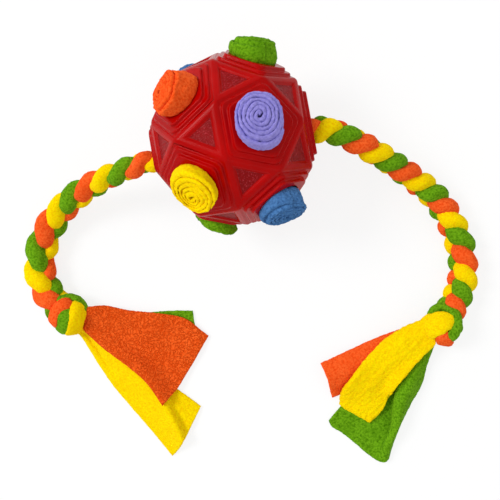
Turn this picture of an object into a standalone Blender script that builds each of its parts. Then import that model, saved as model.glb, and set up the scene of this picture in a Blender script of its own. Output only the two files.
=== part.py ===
"""Dog puzzle ball on a braided fleece rope.

A hollow rubber ball with twelve round holes. Ten of them hold a rolled strip of
fleece, and a braided fleece rope runs through the other two. Each end of the
rope has a knot and three flat tails.

Metres, +Z up, the rope's way through the ball along X. The origin is on the
table, under the middle of the ball.
"""
from dataclasses import dataclass
from math import atan2, ceil, cos, pi, radians, sin, sqrt, tan

import bmesh
import bpy
from mathutils import Matrix, Vector

MM = 0.001

# Ball shell: an icosidodecahedron, 12 pentagons and 20 triangles
ACROSS_PLATES = 90.0 * MM
LOWER_STEP = 1.7 * MM
UPPER_STEP = 2.0 * MM
LOWER_MARGIN = 2.2 * MM
UPPER_MARGIN = 2.6 * MM
PLATE_DRAFT = 0.25 * MM
CORNER_RADIUS = 3.2 * MM
TRIANGLE_BAND = 3.2 * MM
RECESS_DEPTH = 1.2 * MM
RECESS_DRAFT = 0.2 * MM
WALL = 4.0 * MM
HOLE_RADIUS = 12.3 * MM

# Rolled fleece strips
FLEECE = 1.95 * MM
TURN_PITCH = 2.40 * MM
ROLL_CORE_RADIUS = 1.0 * MM
ROLL_CLEARANCE = 0.35 * MM
ROLL_INNER_REACH = 26.0 * MM
HEAD = 12.0 * MM
SPREAD_START = 0.5 * MM
RESTING_HEAD = 4.0 * MM
PRESSED_FLAT = 0.5 * MM

# Rope, knots and tails
CORE_DIAMETER = 15.5 * MM
ROPE_DIAMETER = 17.0 * MM
STUB = 2.0 * MM
ROPE_LEAD = 4.0 * MM
SEAT_GAP = 0.3 * MM
KNOT_DIAMETER = 27.0 * MM
KNOT_HEIGHT = 23.0 * MM
TAIL_REACH = 90.0 * MM
STRIP_WIDTH = 50.0 * MM
ROOT_WIDTH = 12.0 * MM
ROOT_LIFT = 3.5 * MM
LAYER_GAP = 0.9 * MM
FOLD_HEIGHT = 8.0 * MM
DRAPE_MARGIN = 8.0 * MM
DRAPE_FALL = 9.0 * MM

# Shares of a tail: where it has come down from its knot, where its folds are
# full, and where the lip along one edge begins
ROOT_FALL_SHARE = 0.45
FOLD_FULL_SHARE = 0.62
LIP_START_SHARE = 0.58

# Counts
CORNER_POINTS = 4
HOLE_SIDES = 5 * CORNER_POINTS
POINTS_PER_TURN = 14
TAIL_ROWS = 12
TAIL_COLUMNS = 8
KNOT_SEGMENTS = 20
KNOT_RINGS = 12
TUBE_RESOLUTION = 4
CURVE_STEPS = 20

# The free rope, from the ball to each knot: points chosen by hand, in metres
LEFT_ROUTE = (
    (-0.0600, -0.0052, 0.0470), (-0.0715, -0.0067, 0.0425), (-0.0850, -0.0087, 0.0350),
    (-0.1000, -0.0122, 0.0255), (-0.1150, -0.0175, 0.0170), (-0.1280, -0.0252, 0.0115),
    (-0.1375, -0.0345, 0.0092), (-0.1438, -0.0450, 0.0088), (-0.1465, -0.0530, 0.0088),
    (-0.1472, -0.0600, 0.0088), (-0.1467, -0.0665, 0.0088), (-0.1450, -0.0728, 0.0088),
    (-0.1417, -0.0791, 0.0088),
)
RIGHT_ROUTE = (
    (0.0595, -0.0078, 0.0473), (0.0668, -0.0123, 0.0443), (0.0740, -0.0175, 0.0398),
    (0.0860, -0.0272, 0.0305), (0.0968, -0.0372, 0.0215), (0.1070, -0.0472, 0.0145),
    (0.1150, -0.0582, 0.0105), (0.1203, -0.0704, 0.0090), (0.1232, -0.0828, 0.0088),
    (0.1239, -0.0950, 0.0088), (0.1226, -0.1055, 0.0088), (0.1195, -0.1140, 0.0088),
    (0.1155, -0.1205, 0.0088),
)

# Directions: a ring of five holes round each rope hole, as angles about the rope
RING_ALONG_SHARE = 1.0 / sqrt(5.0)
RING_ACROSS_SHARE = 2.0 / sqrt(5.0)
ALIKE_SHARE = 1e-6
FIFTH = 2 * pi / 5

# How far a pentagon and a corner lie from the ball's middle, as shares of an edge
PENTAGON_SHARE = sqrt(1 + 2 / sqrt(5.0))
CORNER_SHARE = (1 + sqrt(5.0)) / 2


def ring_axis(side, degrees):
    """Unit vector of a hole in the ring next to the rope hole on that side."""
    angle = radians(degrees)
    across = Vector((0.0, sin(angle), cos(angle))) * RING_ACROSS_SHARE
    return Vector((side * RING_ALONG_SHARE, 0.0, 0.0)) + across


HOLES = {
    "rope_right": Vector((1.0, 0.0, 0.0)),
    "rope_left": Vector((-1.0, 0.0, 0.0)),
    "purple_top": ring_axis(1, 0),
    "green_back": ring_axis(1, 72),
    "yellow_under": ring_axis(1, 144),
    "orange_under": ring_axis(1, -144),
    "blue_front": ring_axis(1, -72),
    "orange_top": ring_axis(-1, 36),
    "blue_back": ring_axis(-1, 108),
    "purple_under": ring_axis(-1, 180),
    "green_front": ring_axis(-1, -108),
    "yellow_top": ring_axis(-1, -36),
}

# A roll's head spreads wider than its hole, by this share at its end
HEAD_SPREAD_SHARE = 1.12

# How far each roll's head stands out of its hole, as a share of HEAD
HEAD_SHARES = {
    "purple_top": 0.75, "green_back": 0.8, "blue_front": 0.8, "orange_top": 0.9,
    "blue_back": 0.7, "green_front": 0.7, "yellow_top": 0.8,
}
RESTING_ROLLS = ("purple_under", "yellow_under", "orange_under")

# Where each spiral ends, as a share of a turn about its hole
SPIRAL_END_SHARES = {
    "purple_top": 0.42, "green_back": 0.11, "yellow_under": 0.555, "orange_under": 0.555,
    "blue_front": 0.11, "orange_top": 0.28, "blue_back": 0.83, "purple_under": 0.5,
    "green_front": 0.83, "yellow_top": 0.28,
}

# Worked out from the sizes above
LAND = ACROSS_PLATES / 2
BASE_PLANE = LAND - LOWER_STEP - UPPER_STEP
EDGE = BASE_PLANE / PENTAGON_SHARE
VERTEX_RADIUS = EDGE * CORNER_SHARE
BASE_INRADIUS = EDGE / (2 * tan(FIFTH / 2))
INNER_SHARE = (BASE_PLANE - WALL) / BASE_PLANE
ROLL_RADIUS = HOLE_RADIUS * cos(pi / HOLE_SIDES) - ROLL_CLEARANCE
ROPE_DROP = HOLE_RADIUS * cos(pi / HOLE_SIDES) - CORE_DIAMETER / 2 - SEAT_GAP


@dataclass(frozen=True)
class Tail:
    """One fleece tail: where it points from its knot, its size and its folds.

    heading and slant are in degrees. bow_share drifts its middle to its left,
    spread_share is where it has reached its full width, and layers is 2 where
    the strip is folded in two along its length.
    """

    name: str
    colour: str
    heading: float
    reach_share: float
    width_share: float
    slant: float
    bow_share: float = 0.0
    spread_share: float = 1.0
    arch_share: float = 0.0
    lip_share: float = 0.0
    layers: int = 1


# Each side's tails, from the table up
LEFT_TAILS = (
    Tail("tail_left_green", "green", -19, 0.97, 0.60, -11),
    Tail("tail_left_yellow", "yellow", -55, 1.25, 0.80, -15, bow_share=-0.03, arch_share=0.8),
    Tail("tail_left_orange", "orange", -34.5, 0.99, 1.06, 8, bow_share=0.05),
)
RIGHT_TAILS = (
    Tail("tail_right_orange", "orange", 201.5, 0.94, 0.54, 3, arch_share=1.0),
    Tail("tail_right_green", "green", 227, 1.07, 0.88, 0, lip_share=0.9),
    Tail(
        "tail_right_yellow", "yellow", 219.5, 0.90, 0.52, 4,
        bow_share=-0.075, spread_share=0.4, layers=2,
    ),
)

COLOURS = {
    "red": ((0.42, 0.004, 0.004), 0.32),
    "purple": ((0.34, 0.27, 0.68), 0.95),
    "yellow": ((0.90, 0.66, 0.005), 0.95),
    "blue": ((0.07, 0.22, 0.55), 0.95),
    "orange": ((0.95, 0.10, 0.01), 0.95),
    "green": ((0.11, 0.37, 0.01), 0.95),
}


def clear_scene():
    """Remove every object of the scene."""
    for thing in list(bpy.data.objects):
        bpy.data.objects.remove(thing, do_unlink=True)


def add_material(name, colour):
    """A plain Principled material of one of the colours above."""
    (red, green, blue), roughness = COLOURS[colour]
    material = bpy.data.materials.new(name)
    material.use_nodes = True
    shader = material.node_tree.nodes["Principled BSDF"]
    shader.inputs["Base Color"].default_value = (red, green, blue, 1.0)
    shader.inputs["Roughness"].default_value = roughness
    shader.inputs["Metallic"].default_value = 0.0
    return material


def add_empty(name, place):
    """An empty that carries what turns or moves together."""
    empty = bpy.data.objects.new(name, None)
    empty.empty_display_size = HEAD
    empty.location = place
    bpy.context.collection.objects.link(empty)
    return empty


def add_solid(name, form, colour, parent=None, turn=None):
    """Turn a bmesh into a named object with its own material."""
    bmesh.ops.recalc_face_normals(form, faces=form.faces[:])
    mesh = bpy.data.meshes.new(name)
    form.to_mesh(mesh)
    form.free()
    mesh.materials.append(add_material(name, colour))
    solid = bpy.data.objects.new(name, mesh)
    bpy.context.collection.objects.link(solid)
    solid.parent = parent
    if turn is not None:
        solid.rotation_euler = turn.to_euler()
    return solid


def face_frame(axis):
    """Rotation whose Z is a hole's axis and whose X leans up, or along the rope."""
    up = Vector((0.0, 0.0, 1.0))
    across = (up - axis * up.dot(axis)).normalized()
    return Matrix((across, axis.cross(across), axis)).transposed()


def neighbours(name):
    """The five holes next to a hole, in order round its axis."""
    axis = HOLES[name]
    frame = face_frame(axis).transposed()
    near = [other for other, way in HOLES.items() if abs(way.dot(axis) - RING_ALONG_SHARE) < ALIKE_SHARE]
    return sorted(near, key=lambda other: atan2(*(frame @ HOLES[other]).yx))


def rounded_ring(form, axis, corners, inradius, height):
    """A pentagon with rounded corners, CORNER_POINTS to a corner, at a height on the axis."""
    ring = []
    reach = (inradius - CORNER_RADIUS) / cos(FIFTH / 2)
    for corner in corners:
        way = (corner - axis * corner.dot(axis)).normalized()
        for index in range(CORNER_POINTS):
            angle = FIFTH * (index / (CORNER_POINTS - 1) - 0.5)
            spoke = Matrix.Rotation(angle, 3, axis) @ way
            ring.append(form.verts.new(axis * height + way * reach + spoke * CORNER_RADIUS))
    return ring


def round_ring(form, axis, corners, radius, height):
    """A circle with as many points as a rounded pentagon, in step with its corners."""
    ring = []
    for corner in corners:
        way = (corner - axis * corner.dot(axis)).normalized()
        for index in range(CORNER_POINTS):
            angle = FIFTH * ((index + 0.5) / CORNER_POINTS - 0.5)
            ring.append(form.verts.new(axis * height + Matrix.Rotation(angle, 3, axis) @ way * radius))
    return ring


def bridge(form, first, second):
    """Quads between two rings with as many points."""
    count = len(first)
    for index in range(count):
        after = (index + 1) % count
        form.faces.new((first[index], first[after], second[after], second[index]))


def bridge_corners(form, corners, ring):
    """Faces between five sharp corners and a ring with CORNER_POINTS to a corner."""
    for index, corner in enumerate(corners):
        start = index * CORNER_POINTS
        for step in range(CORNER_POINTS - 1):
            form.faces.new((corner, ring[start + step], ring[start + step + 1]))
        after = (index + 1) % len(corners)
        form.faces.new((corner, ring[start + CORNER_POINTS - 1], ring[after * CORNER_POINTS], corners[after]))


def build_shell(parent):
    """The moulded ball: stepped plates and holes on its pentagons, recesses in its triangles."""
    form = bmesh.new()
    outer = {}
    inner = {}
    for name in HOLES:
        for other in neighbours(name):
            pair = frozenset((name, other))
            if pair not in outer:
                place = (HOLES[name] + HOLES[other]).normalized() * VERTEX_RADIUS
                outer[pair] = form.verts.new(place)
                inner[pair] = form.verts.new(place * INNER_SHARE)
    lower = BASE_INRADIUS - LOWER_MARGIN
    upper = lower - PLATE_DRAFT - UPPER_MARGIN
    for name, axis in HOLES.items():
        pairs = [frozenset((name, other)) for other in neighbours(name)]
        corners = [outer[pair] for pair in pairs]
        places = [corner.co for corner in corners]
        steps = (
            (lower, BASE_PLANE), (lower - PLATE_DRAFT, BASE_PLANE + LOWER_STEP),
            (upper, BASE_PLANE + LOWER_STEP), (upper - PLATE_DRAFT, LAND),
        )
        rings = [rounded_ring(form, axis, places, inradius, height) for inradius, height in steps]
        rings.append(round_ring(form, axis, places, HOLE_RADIUS, LAND))
        rings.append(round_ring(form, axis, places, HOLE_RADIUS, BASE_PLANE - WALL))
        bridge_corners(form, corners, rings[0])
        for first, second in zip(rings, rings[1:]):
            bridge(form, first, second)
        bridge_corners(form, [inner[pair] for pair in pairs], rings[-1])
    for first, second, third in triangle_names():
        pairs = [frozenset(pair) for pair in ((first, second), (second, third), (third, first))]
        corners = [outer[pair] for pair in pairs]
        axis = (HOLES[first] + HOLES[second] + HOLES[third]).normalized()
        height = corners[0].co.dot(axis)
        rim = inset_triangle(form, corners, axis, TRIANGLE_BAND, height)
        floor = inset_triangle(form, corners, axis, TRIANGLE_BAND + RECESS_DRAFT, height - RECESS_DEPTH)
        bridge(form, corners, rim)
        bridge(form, rim, floor)
        form.faces.new(floor)
        form.faces.new([inner[pair] for pair in pairs])
    return add_solid("ball_shell", form, "red", parent)


def triangle_names():
    """Every three holes that stand round one triangle."""
    names = list(HOLES)
    found = []
    for index, first in enumerate(names):
        near = [name for name in neighbours(first) if names.index(name) > index]
        for second in near:
            for third in near:
                if names.index(third) > names.index(second) and third in neighbours(second):
                    found.append((first, second, third))
    return found


def inset_triangle(form, corners, axis, inset, height):
    """A smaller triangle inside another, its sides moved in by the inset."""
    middle = axis * height
    ring = []
    for corner in corners:
        spoke = corner.co - axis * corner.co.dot(axis)
        ring.append(form.verts.new(middle + spoke * (1 - 2 * inset / spoke.length)))
    return ring


def spiral_section(name):
    """Inner and outer points of a roll's end, wound one way on one side and mirrored on the other."""
    hand = -1 if HOLES[name].y < -ALIKE_SHARE else 1
    first = ROLL_CORE_RADIUS + FLEECE / 2
    last = ROLL_RADIUS - FLEECE / 2
    count = int((last - first) / TURN_PITCH * POINTS_PER_TURN)
    inner = []
    outer = []
    for index in range(count + 1):
        back = (count - index) / POINTS_PER_TURN
        angle = hand * 2 * pi * (SPIRAL_END_SHARES[name] - back)
        radius = last - TURN_PITCH * back
        way = Vector((cos(angle), sin(angle)))
        inner.append(way * (radius - FLEECE / 2))
        outer.append(way * (radius + FLEECE / 2))
    return inner, outer


def rim_reach(name):
    """How far a roll's rim reaches down, square to its axis, as a length."""
    frame = face_frame(HOLES[name])
    down = (frame.transposed() @ Vector((0.0, 0.0, -1.0))).xy
    return max(point.dot(down) for point in spiral_section(name)[1]) * HEAD_SPREAD_SHARE


def ball_height():
    """Height of the ball's middle, with its lowest roll pressed flat on the table."""
    name = "purple_under"
    return -HOLES[name].z * (LAND + RESTING_HEAD) + rim_reach(name) - PRESSED_FLAT


def head_reach(name):
    """Where a roll's outer end lies on its axis."""
    if name not in RESTING_ROLLS:
        return LAND + HEAD * HEAD_SHARES[name]
    return (ball_height() + PRESSED_FLAT - rim_reach(name)) / -HOLES[name].z


def spiral_gap(name):
    """Least gap from the points of one turn to the sides of the turn inside it."""
    inner, outer = spiral_section(name)
    gaps = []
    for index in range(POINTS_PER_TURN, len(inner)):
        for back in (0, 1):
            start = outer[index - POINTS_PER_TURN - back]
            side = outer[index - POINTS_PER_TURN + 1 - back] - start
            share = max(0.0, min(1.0, (inner[index] - start).dot(side) / side.length_squared))
            gaps.append((inner[index] - start - side * share).length)
    return min(gaps)


def build_roll(name, parent):
    """A strip of fleece wound into a roll, straight in its hole and spread at its head."""
    inner, outer = spiral_section(name)
    frame = face_frame(HOLES[name])
    form = bmesh.new()
    levels = []
    profile = (
        (ROLL_INNER_REACH, 1.0), (LAND + SPREAD_START, 1.0), (head_reach(name), HEAD_SPREAD_SHARE),
    )
    for height, spread in profile:
        loop = [*inner, *reversed(outer)]
        levels.append([form.verts.new((*(point * spread), height)) for point in loop])
    for low, high in zip(levels, levels[1:]):
        bridge(form, low, high)
    for level in (levels[0], levels[-1]):
        for index in range(len(inner) - 1):
            form.faces.new((level[index], level[index + 1], level[-2 - index], level[-1 - index]))
    if name in RESTING_ROLLS:
        press_flat(form, frame)
    print(f"roll_{name}: least gap between turns {spiral_gap(name) / MM:.2f} mm")
    return add_solid(f"roll_{name}", form, name.split("_")[0], parent, frame)


def press_flat(form, frame):
    """Cut off what would reach below the table, and close the cut."""
    up = frame.transposed() @ Vector((0.0, 0.0, 1.0))
    table = up * -ball_height()
    geometry = form.verts[:] + form.edges[:] + form.faces[:]
    bmesh.ops.bisect_plane(form, geom=geometry, dist=0, plane_co=table, plane_no=up, clear_inner=True)
    rim = [edge for edge in form.edges if edge.is_boundary]
    bmesh.ops.edgenet_fill(form, edges=rim)


def smooth_line(points):
    """CURVE_STEPS points to a stretch along a smooth curve through the given ones."""
    ends = [points[0] * 2 - points[1], *points, points[-1] * 2 - points[-2]]
    fine = []
    for before, start, end, after in zip(ends, ends[1:], ends[2:], ends[3:]):
        for index in range(CURVE_STEPS):
            share = index / CURVE_STEPS
            fine.append((
                start * 2 + (end - before) * share
                + (before * 2 - start * 5 + end * 4 - after) * share ** 2
                + (start * 3 - before - end * 3 + after) * share ** 3
            ) / 2)
    fine.append(points[-1])
    return fine


def steady_points(fine, spacing):
    """Points a steady distance apart along a line of close ones."""
    lengths = [0.0]
    for start, end in zip(fine, fine[1:]):
        lengths.append(lengths[-1] + (end - start).length)
    count = max(2, ceil(lengths[-1] / spacing))
    steady = []
    for index in range(count + 1):
        wanted = lengths[-1] * index / count
        passed = sum(length < wanted for length in lengths[1:-1])
        share = (wanted - lengths[passed]) / (lengths[passed + 1] - lengths[passed])
        steady.append(fine[passed].lerp(fine[passed + 1], min(1.0, share)))
    return steady


def add_tube(name, points, diameter, colour):
    """A round tube with closed ends along a line of points."""
    curve = bpy.data.curves.new(name, "CURVE")
    curve.dimensions = "3D"
    curve.bevel_depth = diameter / 2
    curve.bevel_resolution = TUBE_RESOLUTION
    curve.use_fill_caps = True
    spline = curve.splines.new("POLY")
    spline.points.add(len(points) - 1)
    for point, place in zip(spline.points, points):
        point.co = (*place, 1.0)
    curve.materials.append(add_material(name, colour))
    tube = bpy.data.objects.new(name, curve)
    bpy.context.collection.objects.link(tube)
    return tube


def build_rope(side, route, colour):
    """One free stretch of rope, and the middle of the knot at its end."""
    start = Vector((side * (LAND + STUB + SEAT_GAP), -ROPE_DROP, ball_height()))
    lead = start + Vector((side * ROPE_LEAD, 0.0, 0.0))
    fine = smooth_line([start, lead, *(Vector(place) for place in route)])
    name = "rope_right" if side > 0 else "rope_left"
    steady = [start, *steady_points(fine[CURVE_STEPS:], ROPE_DIAMETER)]
    add_tube(name, steady, ROPE_DIAMETER, colour)
    length = sum((end - begin).length for begin, end in zip(steady, steady[1:]))
    print(f"{name}: {length / MM:.0f} mm to the knot")
    way = fine[-1] - fine[-2]
    way.z = 0.0
    knot = steady[-1] + way.normalized() * (KNOT_DIAMETER / 2 + SEAT_GAP)
    knot.z = KNOT_HEIGHT / 2 - PRESSED_FLAT
    return knot


def build_knot(name, middle, colour):
    """A plump knot, pressed flat where it lies on the table."""
    form = bmesh.new()
    bmesh.ops.create_uvsphere(form, u_segments=KNOT_SEGMENTS, v_segments=KNOT_RINGS, radius=1.0)
    for vert in form.verts:
        x, y, z = vert.co
        half = KNOT_DIAMETER / 2
        height = max(0.0, middle.z + z * KNOT_HEIGHT / 2)
        vert.co = (middle.x + x * half, middle.y + y * half, height)
    return add_solid(name, form, colour)


def smooth(share):
    """Rise from 0 to 1 with level ends."""
    share = max(0.0, min(1.0, share))
    return share * share * (3 - 2 * share)


class Strip:
    """A tail laid on the table and on the tails under it."""

    def __init__(self, tail, knot, below):
        """Work out the tail's place from its knot."""
        self.tail = tail
        self.below = below
        self.way = Vector((cos(radians(tail.heading)), sin(radians(tail.heading))))
        self.side = Vector((-self.way.y, self.way.x))
        self.lift = ROOT_LIFT + len(below) * (FLEECE + LAYER_GAP)
        self.width = STRIP_WIDTH * tail.width_share
        self.thickness = FLEECE * tail.layers
        nearest = max(self.lift, min(knot.z, self.lift + FLEECE))
        lean = (nearest - knot.z) / (KNOT_HEIGHT / 2)
        start = KNOT_DIAMETER / 2 * sqrt(1 - lean * lean) + SEAT_GAP
        self.root = knot.xy + self.way * start
        self.length = TAIL_REACH * tail.reach_share - start

    def half_width(self, along):
        """Half the tail's width at a share of its length."""
        spread = min(1.0, along / self.tail.spread_share)
        return (ROOT_WIDTH + (self.width - ROOT_WIDTH) * spread) / 2

    def drift(self, along):
        """How far the tail's middle lies beside its straight line."""
        hump = 4 * along * (1 - along)
        return self.tail.bow_share * self.length * hump

    def place(self, along, across):
        """Plan point at shares of the length and of the half width."""
        offset = across * self.half_width(along)
        reach = along * (self.length + offset * tan(radians(self.tail.slant)))
        return self.root + self.way * reach + self.side * (offset + self.drift(along))

    def locate(self, place):
        """The length share and the side distance of a plan point, the slant left out."""
        arm = place - self.root
        along = arm.dot(self.way) / self.length
        return along, arm.dot(self.side) - self.drift(max(0.0, min(1.0, along)))

    def own_height(self, along, across):
        """Underside height where nothing lies below."""
        height = self.lift * (1 - smooth(along / ROOT_FALL_SHARE))
        fold = FOLD_HEIGHT * smooth(along / FOLD_FULL_SHARE)
        lip = smooth((across - LIP_START_SHARE) / (1 - LIP_START_SHARE))
        return height + fold * (self.tail.arch_share * (1 - across * across) + self.tail.lip_share * lip)

    def drape_height(self, place):
        """Height that this tail gives to one that lies on it, fading past its edges."""
        along, offset = self.locate(place)
        half = self.half_width(max(0.0, min(1.0, along)))
        past_side = abs(offset) - half - DRAPE_MARGIN
        past_end = (along - 1) * self.length - DRAPE_MARGIN
        past = max(past_side, past_end, 0.0)
        across = max(-1.0, min(1.0, offset / half))
        along = max(0.0, min(1.0, along))
        top = self.underside(self.place(along, across), along, across) + self.thickness + LAYER_GAP
        return top * (1 - smooth(past / DRAPE_FALL))

    def underside(self, place, along, across):
        """Underside height at a plan point."""
        heights = [strip.drape_height(place) for strip in self.below]
        return max([self.own_height(along, across), *heights])

    def build(self):
        """A closed sheet, its upper side its own thickness over its lower one."""
        form = bmesh.new()
        sides = []
        for rise in (0.0, self.thickness):
            rows = []
            for row in range(TAIL_ROWS + 1):
                line = []
                for column in range(TAIL_COLUMNS + 1):
                    along = row / TAIL_ROWS
                    across = 2 * column / TAIL_COLUMNS - 1
                    place = self.place(along, across)
                    height = self.underside(place, along, across) + rise
                    line.append(form.verts.new((*place, height)))
                rows.append(line)
            sides.append(rows)
        lower, upper = sides
        for rows in sides:
            for first, second in zip(rows, rows[1:]):
                for column in range(TAIL_COLUMNS):
                    form.faces.new((first[column], first[column + 1], second[column + 1], second[column]))
        for first, second in zip(edge_loop(lower), edge_loop(upper)):
            form.faces.new((first[0], first[1], second[1], second[0]))
        return add_solid(self.tail.name, form, self.tail.colour)


def edge_loop(rows):
    """Pairs of neighbouring points round the edge of a grid."""
    loop = list(rows[0])
    loop += [row[-1] for row in rows[1:]]
    loop += list(reversed(rows[-1][:-1]))
    loop += [row[0] for row in reversed(rows[1:-1])]
    return list(zip(loop, loop[1:] + loop[:1]))


def build_tails(tails, knot):
    """The three tails of one knot, laid from the table up."""
    laid = []
    for tail in tails:
        strip = Strip(tail, knot, list(laid))
        strip.build()
        laid.append(strip)


def main():
    """Build the whole object."""
    clear_scene()
    pivot = add_empty("ball_centre", (0.0, 0.0, ball_height()))
    build_shell(pivot)
    for name in HOLES:
        if not name.startswith("rope"):
            build_roll(name, pivot)
    ends = [Vector((side * (LAND + STUB), -ROPE_DROP, ball_height())) for side in (-1, 1)]
    add_tube("rope_core", ends, CORE_DIAMETER, "green")
    left_knot = build_rope(-1, LEFT_ROUTE, "orange")
    right_knot = build_rope(1, RIGHT_ROUTE, "yellow")
    build_knot("knot_left", left_knot, "orange")
    build_knot("knot_right", right_knot, "green")
    build_tails(LEFT_TAILS, left_knot)
    build_tails(RIGHT_TAILS, right_knot)


main()
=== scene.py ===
"""Looks of the dog puzzle ball: glossy rubber, rolled fleece and a plaited fleece rope.

Lengths are in metres, or in millimetres where the text says so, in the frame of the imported
model: +Z up, the rope's way through the ball along X, the origin on the table under the ball.
"""
from __future__ import annotations

import itertools
import logging
from dataclasses import dataclass, field
from enum import Enum
from math import atan2, cos, pi, radians, sin, sqrt, tan

import bmesh
import bpy
import numpy as np
from bmesh.types import BMesh
from bpy.types import ID, Material, Mesh, Node, NodeSocket, NodeTree, Object, World
from mathutils import Matrix, Vector

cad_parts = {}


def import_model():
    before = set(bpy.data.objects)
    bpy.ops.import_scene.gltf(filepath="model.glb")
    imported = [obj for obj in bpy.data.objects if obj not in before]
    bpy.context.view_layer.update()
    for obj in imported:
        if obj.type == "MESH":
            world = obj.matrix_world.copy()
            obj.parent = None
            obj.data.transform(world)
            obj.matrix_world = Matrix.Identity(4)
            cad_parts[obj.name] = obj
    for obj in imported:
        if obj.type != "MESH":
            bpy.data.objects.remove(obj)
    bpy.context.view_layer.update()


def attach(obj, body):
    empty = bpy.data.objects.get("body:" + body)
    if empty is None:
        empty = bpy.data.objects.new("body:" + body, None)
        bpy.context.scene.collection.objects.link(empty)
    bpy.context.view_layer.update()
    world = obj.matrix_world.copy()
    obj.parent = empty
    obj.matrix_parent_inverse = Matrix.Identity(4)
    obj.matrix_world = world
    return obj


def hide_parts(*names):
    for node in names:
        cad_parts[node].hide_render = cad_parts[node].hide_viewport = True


MM = 0.001
LOG = logging.getLogger("puzzle_ball")

# Where the ball's middle is, and the ball's own sizes. INNER_SHARE is where the corners of
# its hollow stand, as a share of the way to the corners of its skin.
BALL_HEIGHT = 0.04923659
LAND = 45.0 * MM
BASE_PLANE = 41.3 * MM
HOLE_RADIUS = 12.3 * MM
INNER_SHARE = 0.9032
THIRD = 2 * pi / 3
FIFTH = 2 * pi / 5
EDGE = BASE_PLANE / sqrt(1 + 2 / sqrt(5.0))
VERTEX_RADIUS = EDGE * (1 + sqrt(5.0)) / 2
BASE_INRADIUS = EDGE / (2 * tan(FIFTH / 2))

# The thickness of the fleece
FLEECE = 1.95 * MM

# The knots, whose middles lie where the free rope ends
KNOT_RADIUS = 13.5 * MM
KNOT_HALF_HEIGHT = 11.5 * MM
KNOTS = {"left": Vector((-0.13524, -0.09129, 0.0110)), "right": Vector((0.10820, -0.13221, 0.0110))}

# The free rope, from the ball to each knot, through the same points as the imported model
ROPE_START = 47.3 * MM
ROPE_LEAD = 4.0 * MM
ROPE_DROP = 4.099 * MM
LEFT_ROUTE = (
    (-0.0600, -0.0052, 0.0470), (-0.0715, -0.0067, 0.0425), (-0.0850, -0.0087, 0.0350),
    (-0.1000, -0.0122, 0.0255), (-0.1150, -0.0175, 0.0170), (-0.1280, -0.0252, 0.0115),
    (-0.1375, -0.0345, 0.0092), (-0.1438, -0.0450, 0.0088), (-0.1465, -0.0530, 0.0088),
    (-0.1472, -0.0600, 0.0088), (-0.1467, -0.0665, 0.0088), (-0.1450, -0.0728, 0.0088),
    (-0.1417, -0.0791, 0.0088),
)
RIGHT_ROUTE = (
    (0.0595, -0.0078, 0.0473), (0.0668, -0.0123, 0.0443), (0.0740, -0.0175, 0.0398),
    (0.0860, -0.0272, 0.0305), (0.0968, -0.0372, 0.0215), (0.1070, -0.0472, 0.0145),
    (0.1150, -0.0582, 0.0105), (0.1203, -0.0704, 0.0090), (0.1232, -0.0828, 0.0088),
    (0.1239, -0.0950, 0.0088), (0.1226, -0.1055, 0.0088), (0.1195, -0.1140, 0.0088),
    (0.1155, -0.1205, 0.0088),
)

# Parts of the unit vectors of the ball's twelve holes, along the rope and away from it
NEAR, ACROSS = 1 / sqrt(5.0), 2 / sqrt(5.0)


def ring_axis(side: int, degrees: float) -> Vector:
    """Axis of a hole in the ring beside a rope hole, its angle from straight up to the back."""
    angle = radians(degrees)
    return Vector((side * NEAR, ACROSS * sin(angle), ACROSS * cos(angle)))


HOLES = {
    "rope_right": Vector((1.0, 0.0, 0.0)),
    "rope_left": Vector((-1.0, 0.0, 0.0)),
    "purple_top": ring_axis(1, 0),
    "green_back": ring_axis(1, 72),
    "yellow_under": ring_axis(1, 144),
    "orange_under": ring_axis(1, -144),
    "blue_front": ring_axis(1, -72),
    "orange_top": ring_axis(-1, 36),
    "blue_back": ring_axis(-1, 108),
    "purple_under": ring_axis(-1, 180),
    "green_front": ring_axis(-1, -108),
    "yellow_top": ring_axis(-1, -36),
}


class Nap(Enum):
    """How the face of a fleece strip looks where it lies."""

    SMOOTH = "smooth"
    TUFTED = "tufted"
    PEBBLED = "pebbled"
    FURRY = "furry"


# Small tools


def smooth(share: np.ndarray) -> np.ndarray:
    """Rise from 0 to 1 with level ends."""
    share = np.clip(share, 0, 1)
    return share * share * (3 - 2 * share)


def linear(code: str) -> tuple[float, float, float, float]:
    """Turn an sRGB hex colour into a linear one.

    Args:
        code: Six hex digits after a hash sign.

    Returns:
        Linear red, green, blue and an alpha of 1.
    """
    parts = [int(code[place:place + 2], 16) / 255 for place in (1, 3, 5)]
    parts = [part / 12.92 if part <= 0.04045 else ((part + 0.055) / 1.055) ** 2.4 for part in parts]
    return (*parts, 1.0)


def clear_tree(owner: Material | World) -> NodeTree:
    """Give something an empty node tree.

    Args:
        owner: The material or world.

    Returns:
        The tree.
    """
    owner.use_nodes = True
    owner.node_tree.nodes.clear()
    return owner.node_tree


def add_node(
        tree: NodeTree, kind: str, links: dict | None = None, **settings: object) -> Node:
    """Add a shader node with its settings and links.

    Args:
        tree: The material's node tree.
        kind: The node's type name.
        links: Input names or numbers, each with a plain value or with the socket it comes from.
        settings: Properties of the node itself.

    Returns:
        The new node.
    """
    node = tree.nodes.new(kind)
    for name, value in settings.items():
        setattr(node, name, value)
    for name, value in (links or {}).items():
        if isinstance(value, NodeSocket):
            tree.links.new(value, node.inputs[name])
        else:
            node.inputs[name].default_value = value
    return node


def maths(tree: NodeTree, operation: str, *values: object) -> NodeSocket:
    """Add a sum, product or the like of plain values and sockets."""
    return add_node(tree, "ShaderNodeMath", dict(enumerate(values)), operation=operation).outputs[0]


def blend(tree: NodeTree, share: object, low: object, high: object) -> NodeSocket:
    """Add a mix of two colours, all low where the share is 0 and all high where it is 1."""
    return add_node(tree, "ShaderNodeMix", {0: share, 6: low, 7: high}, data_type="RGBA").outputs[2]


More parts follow.
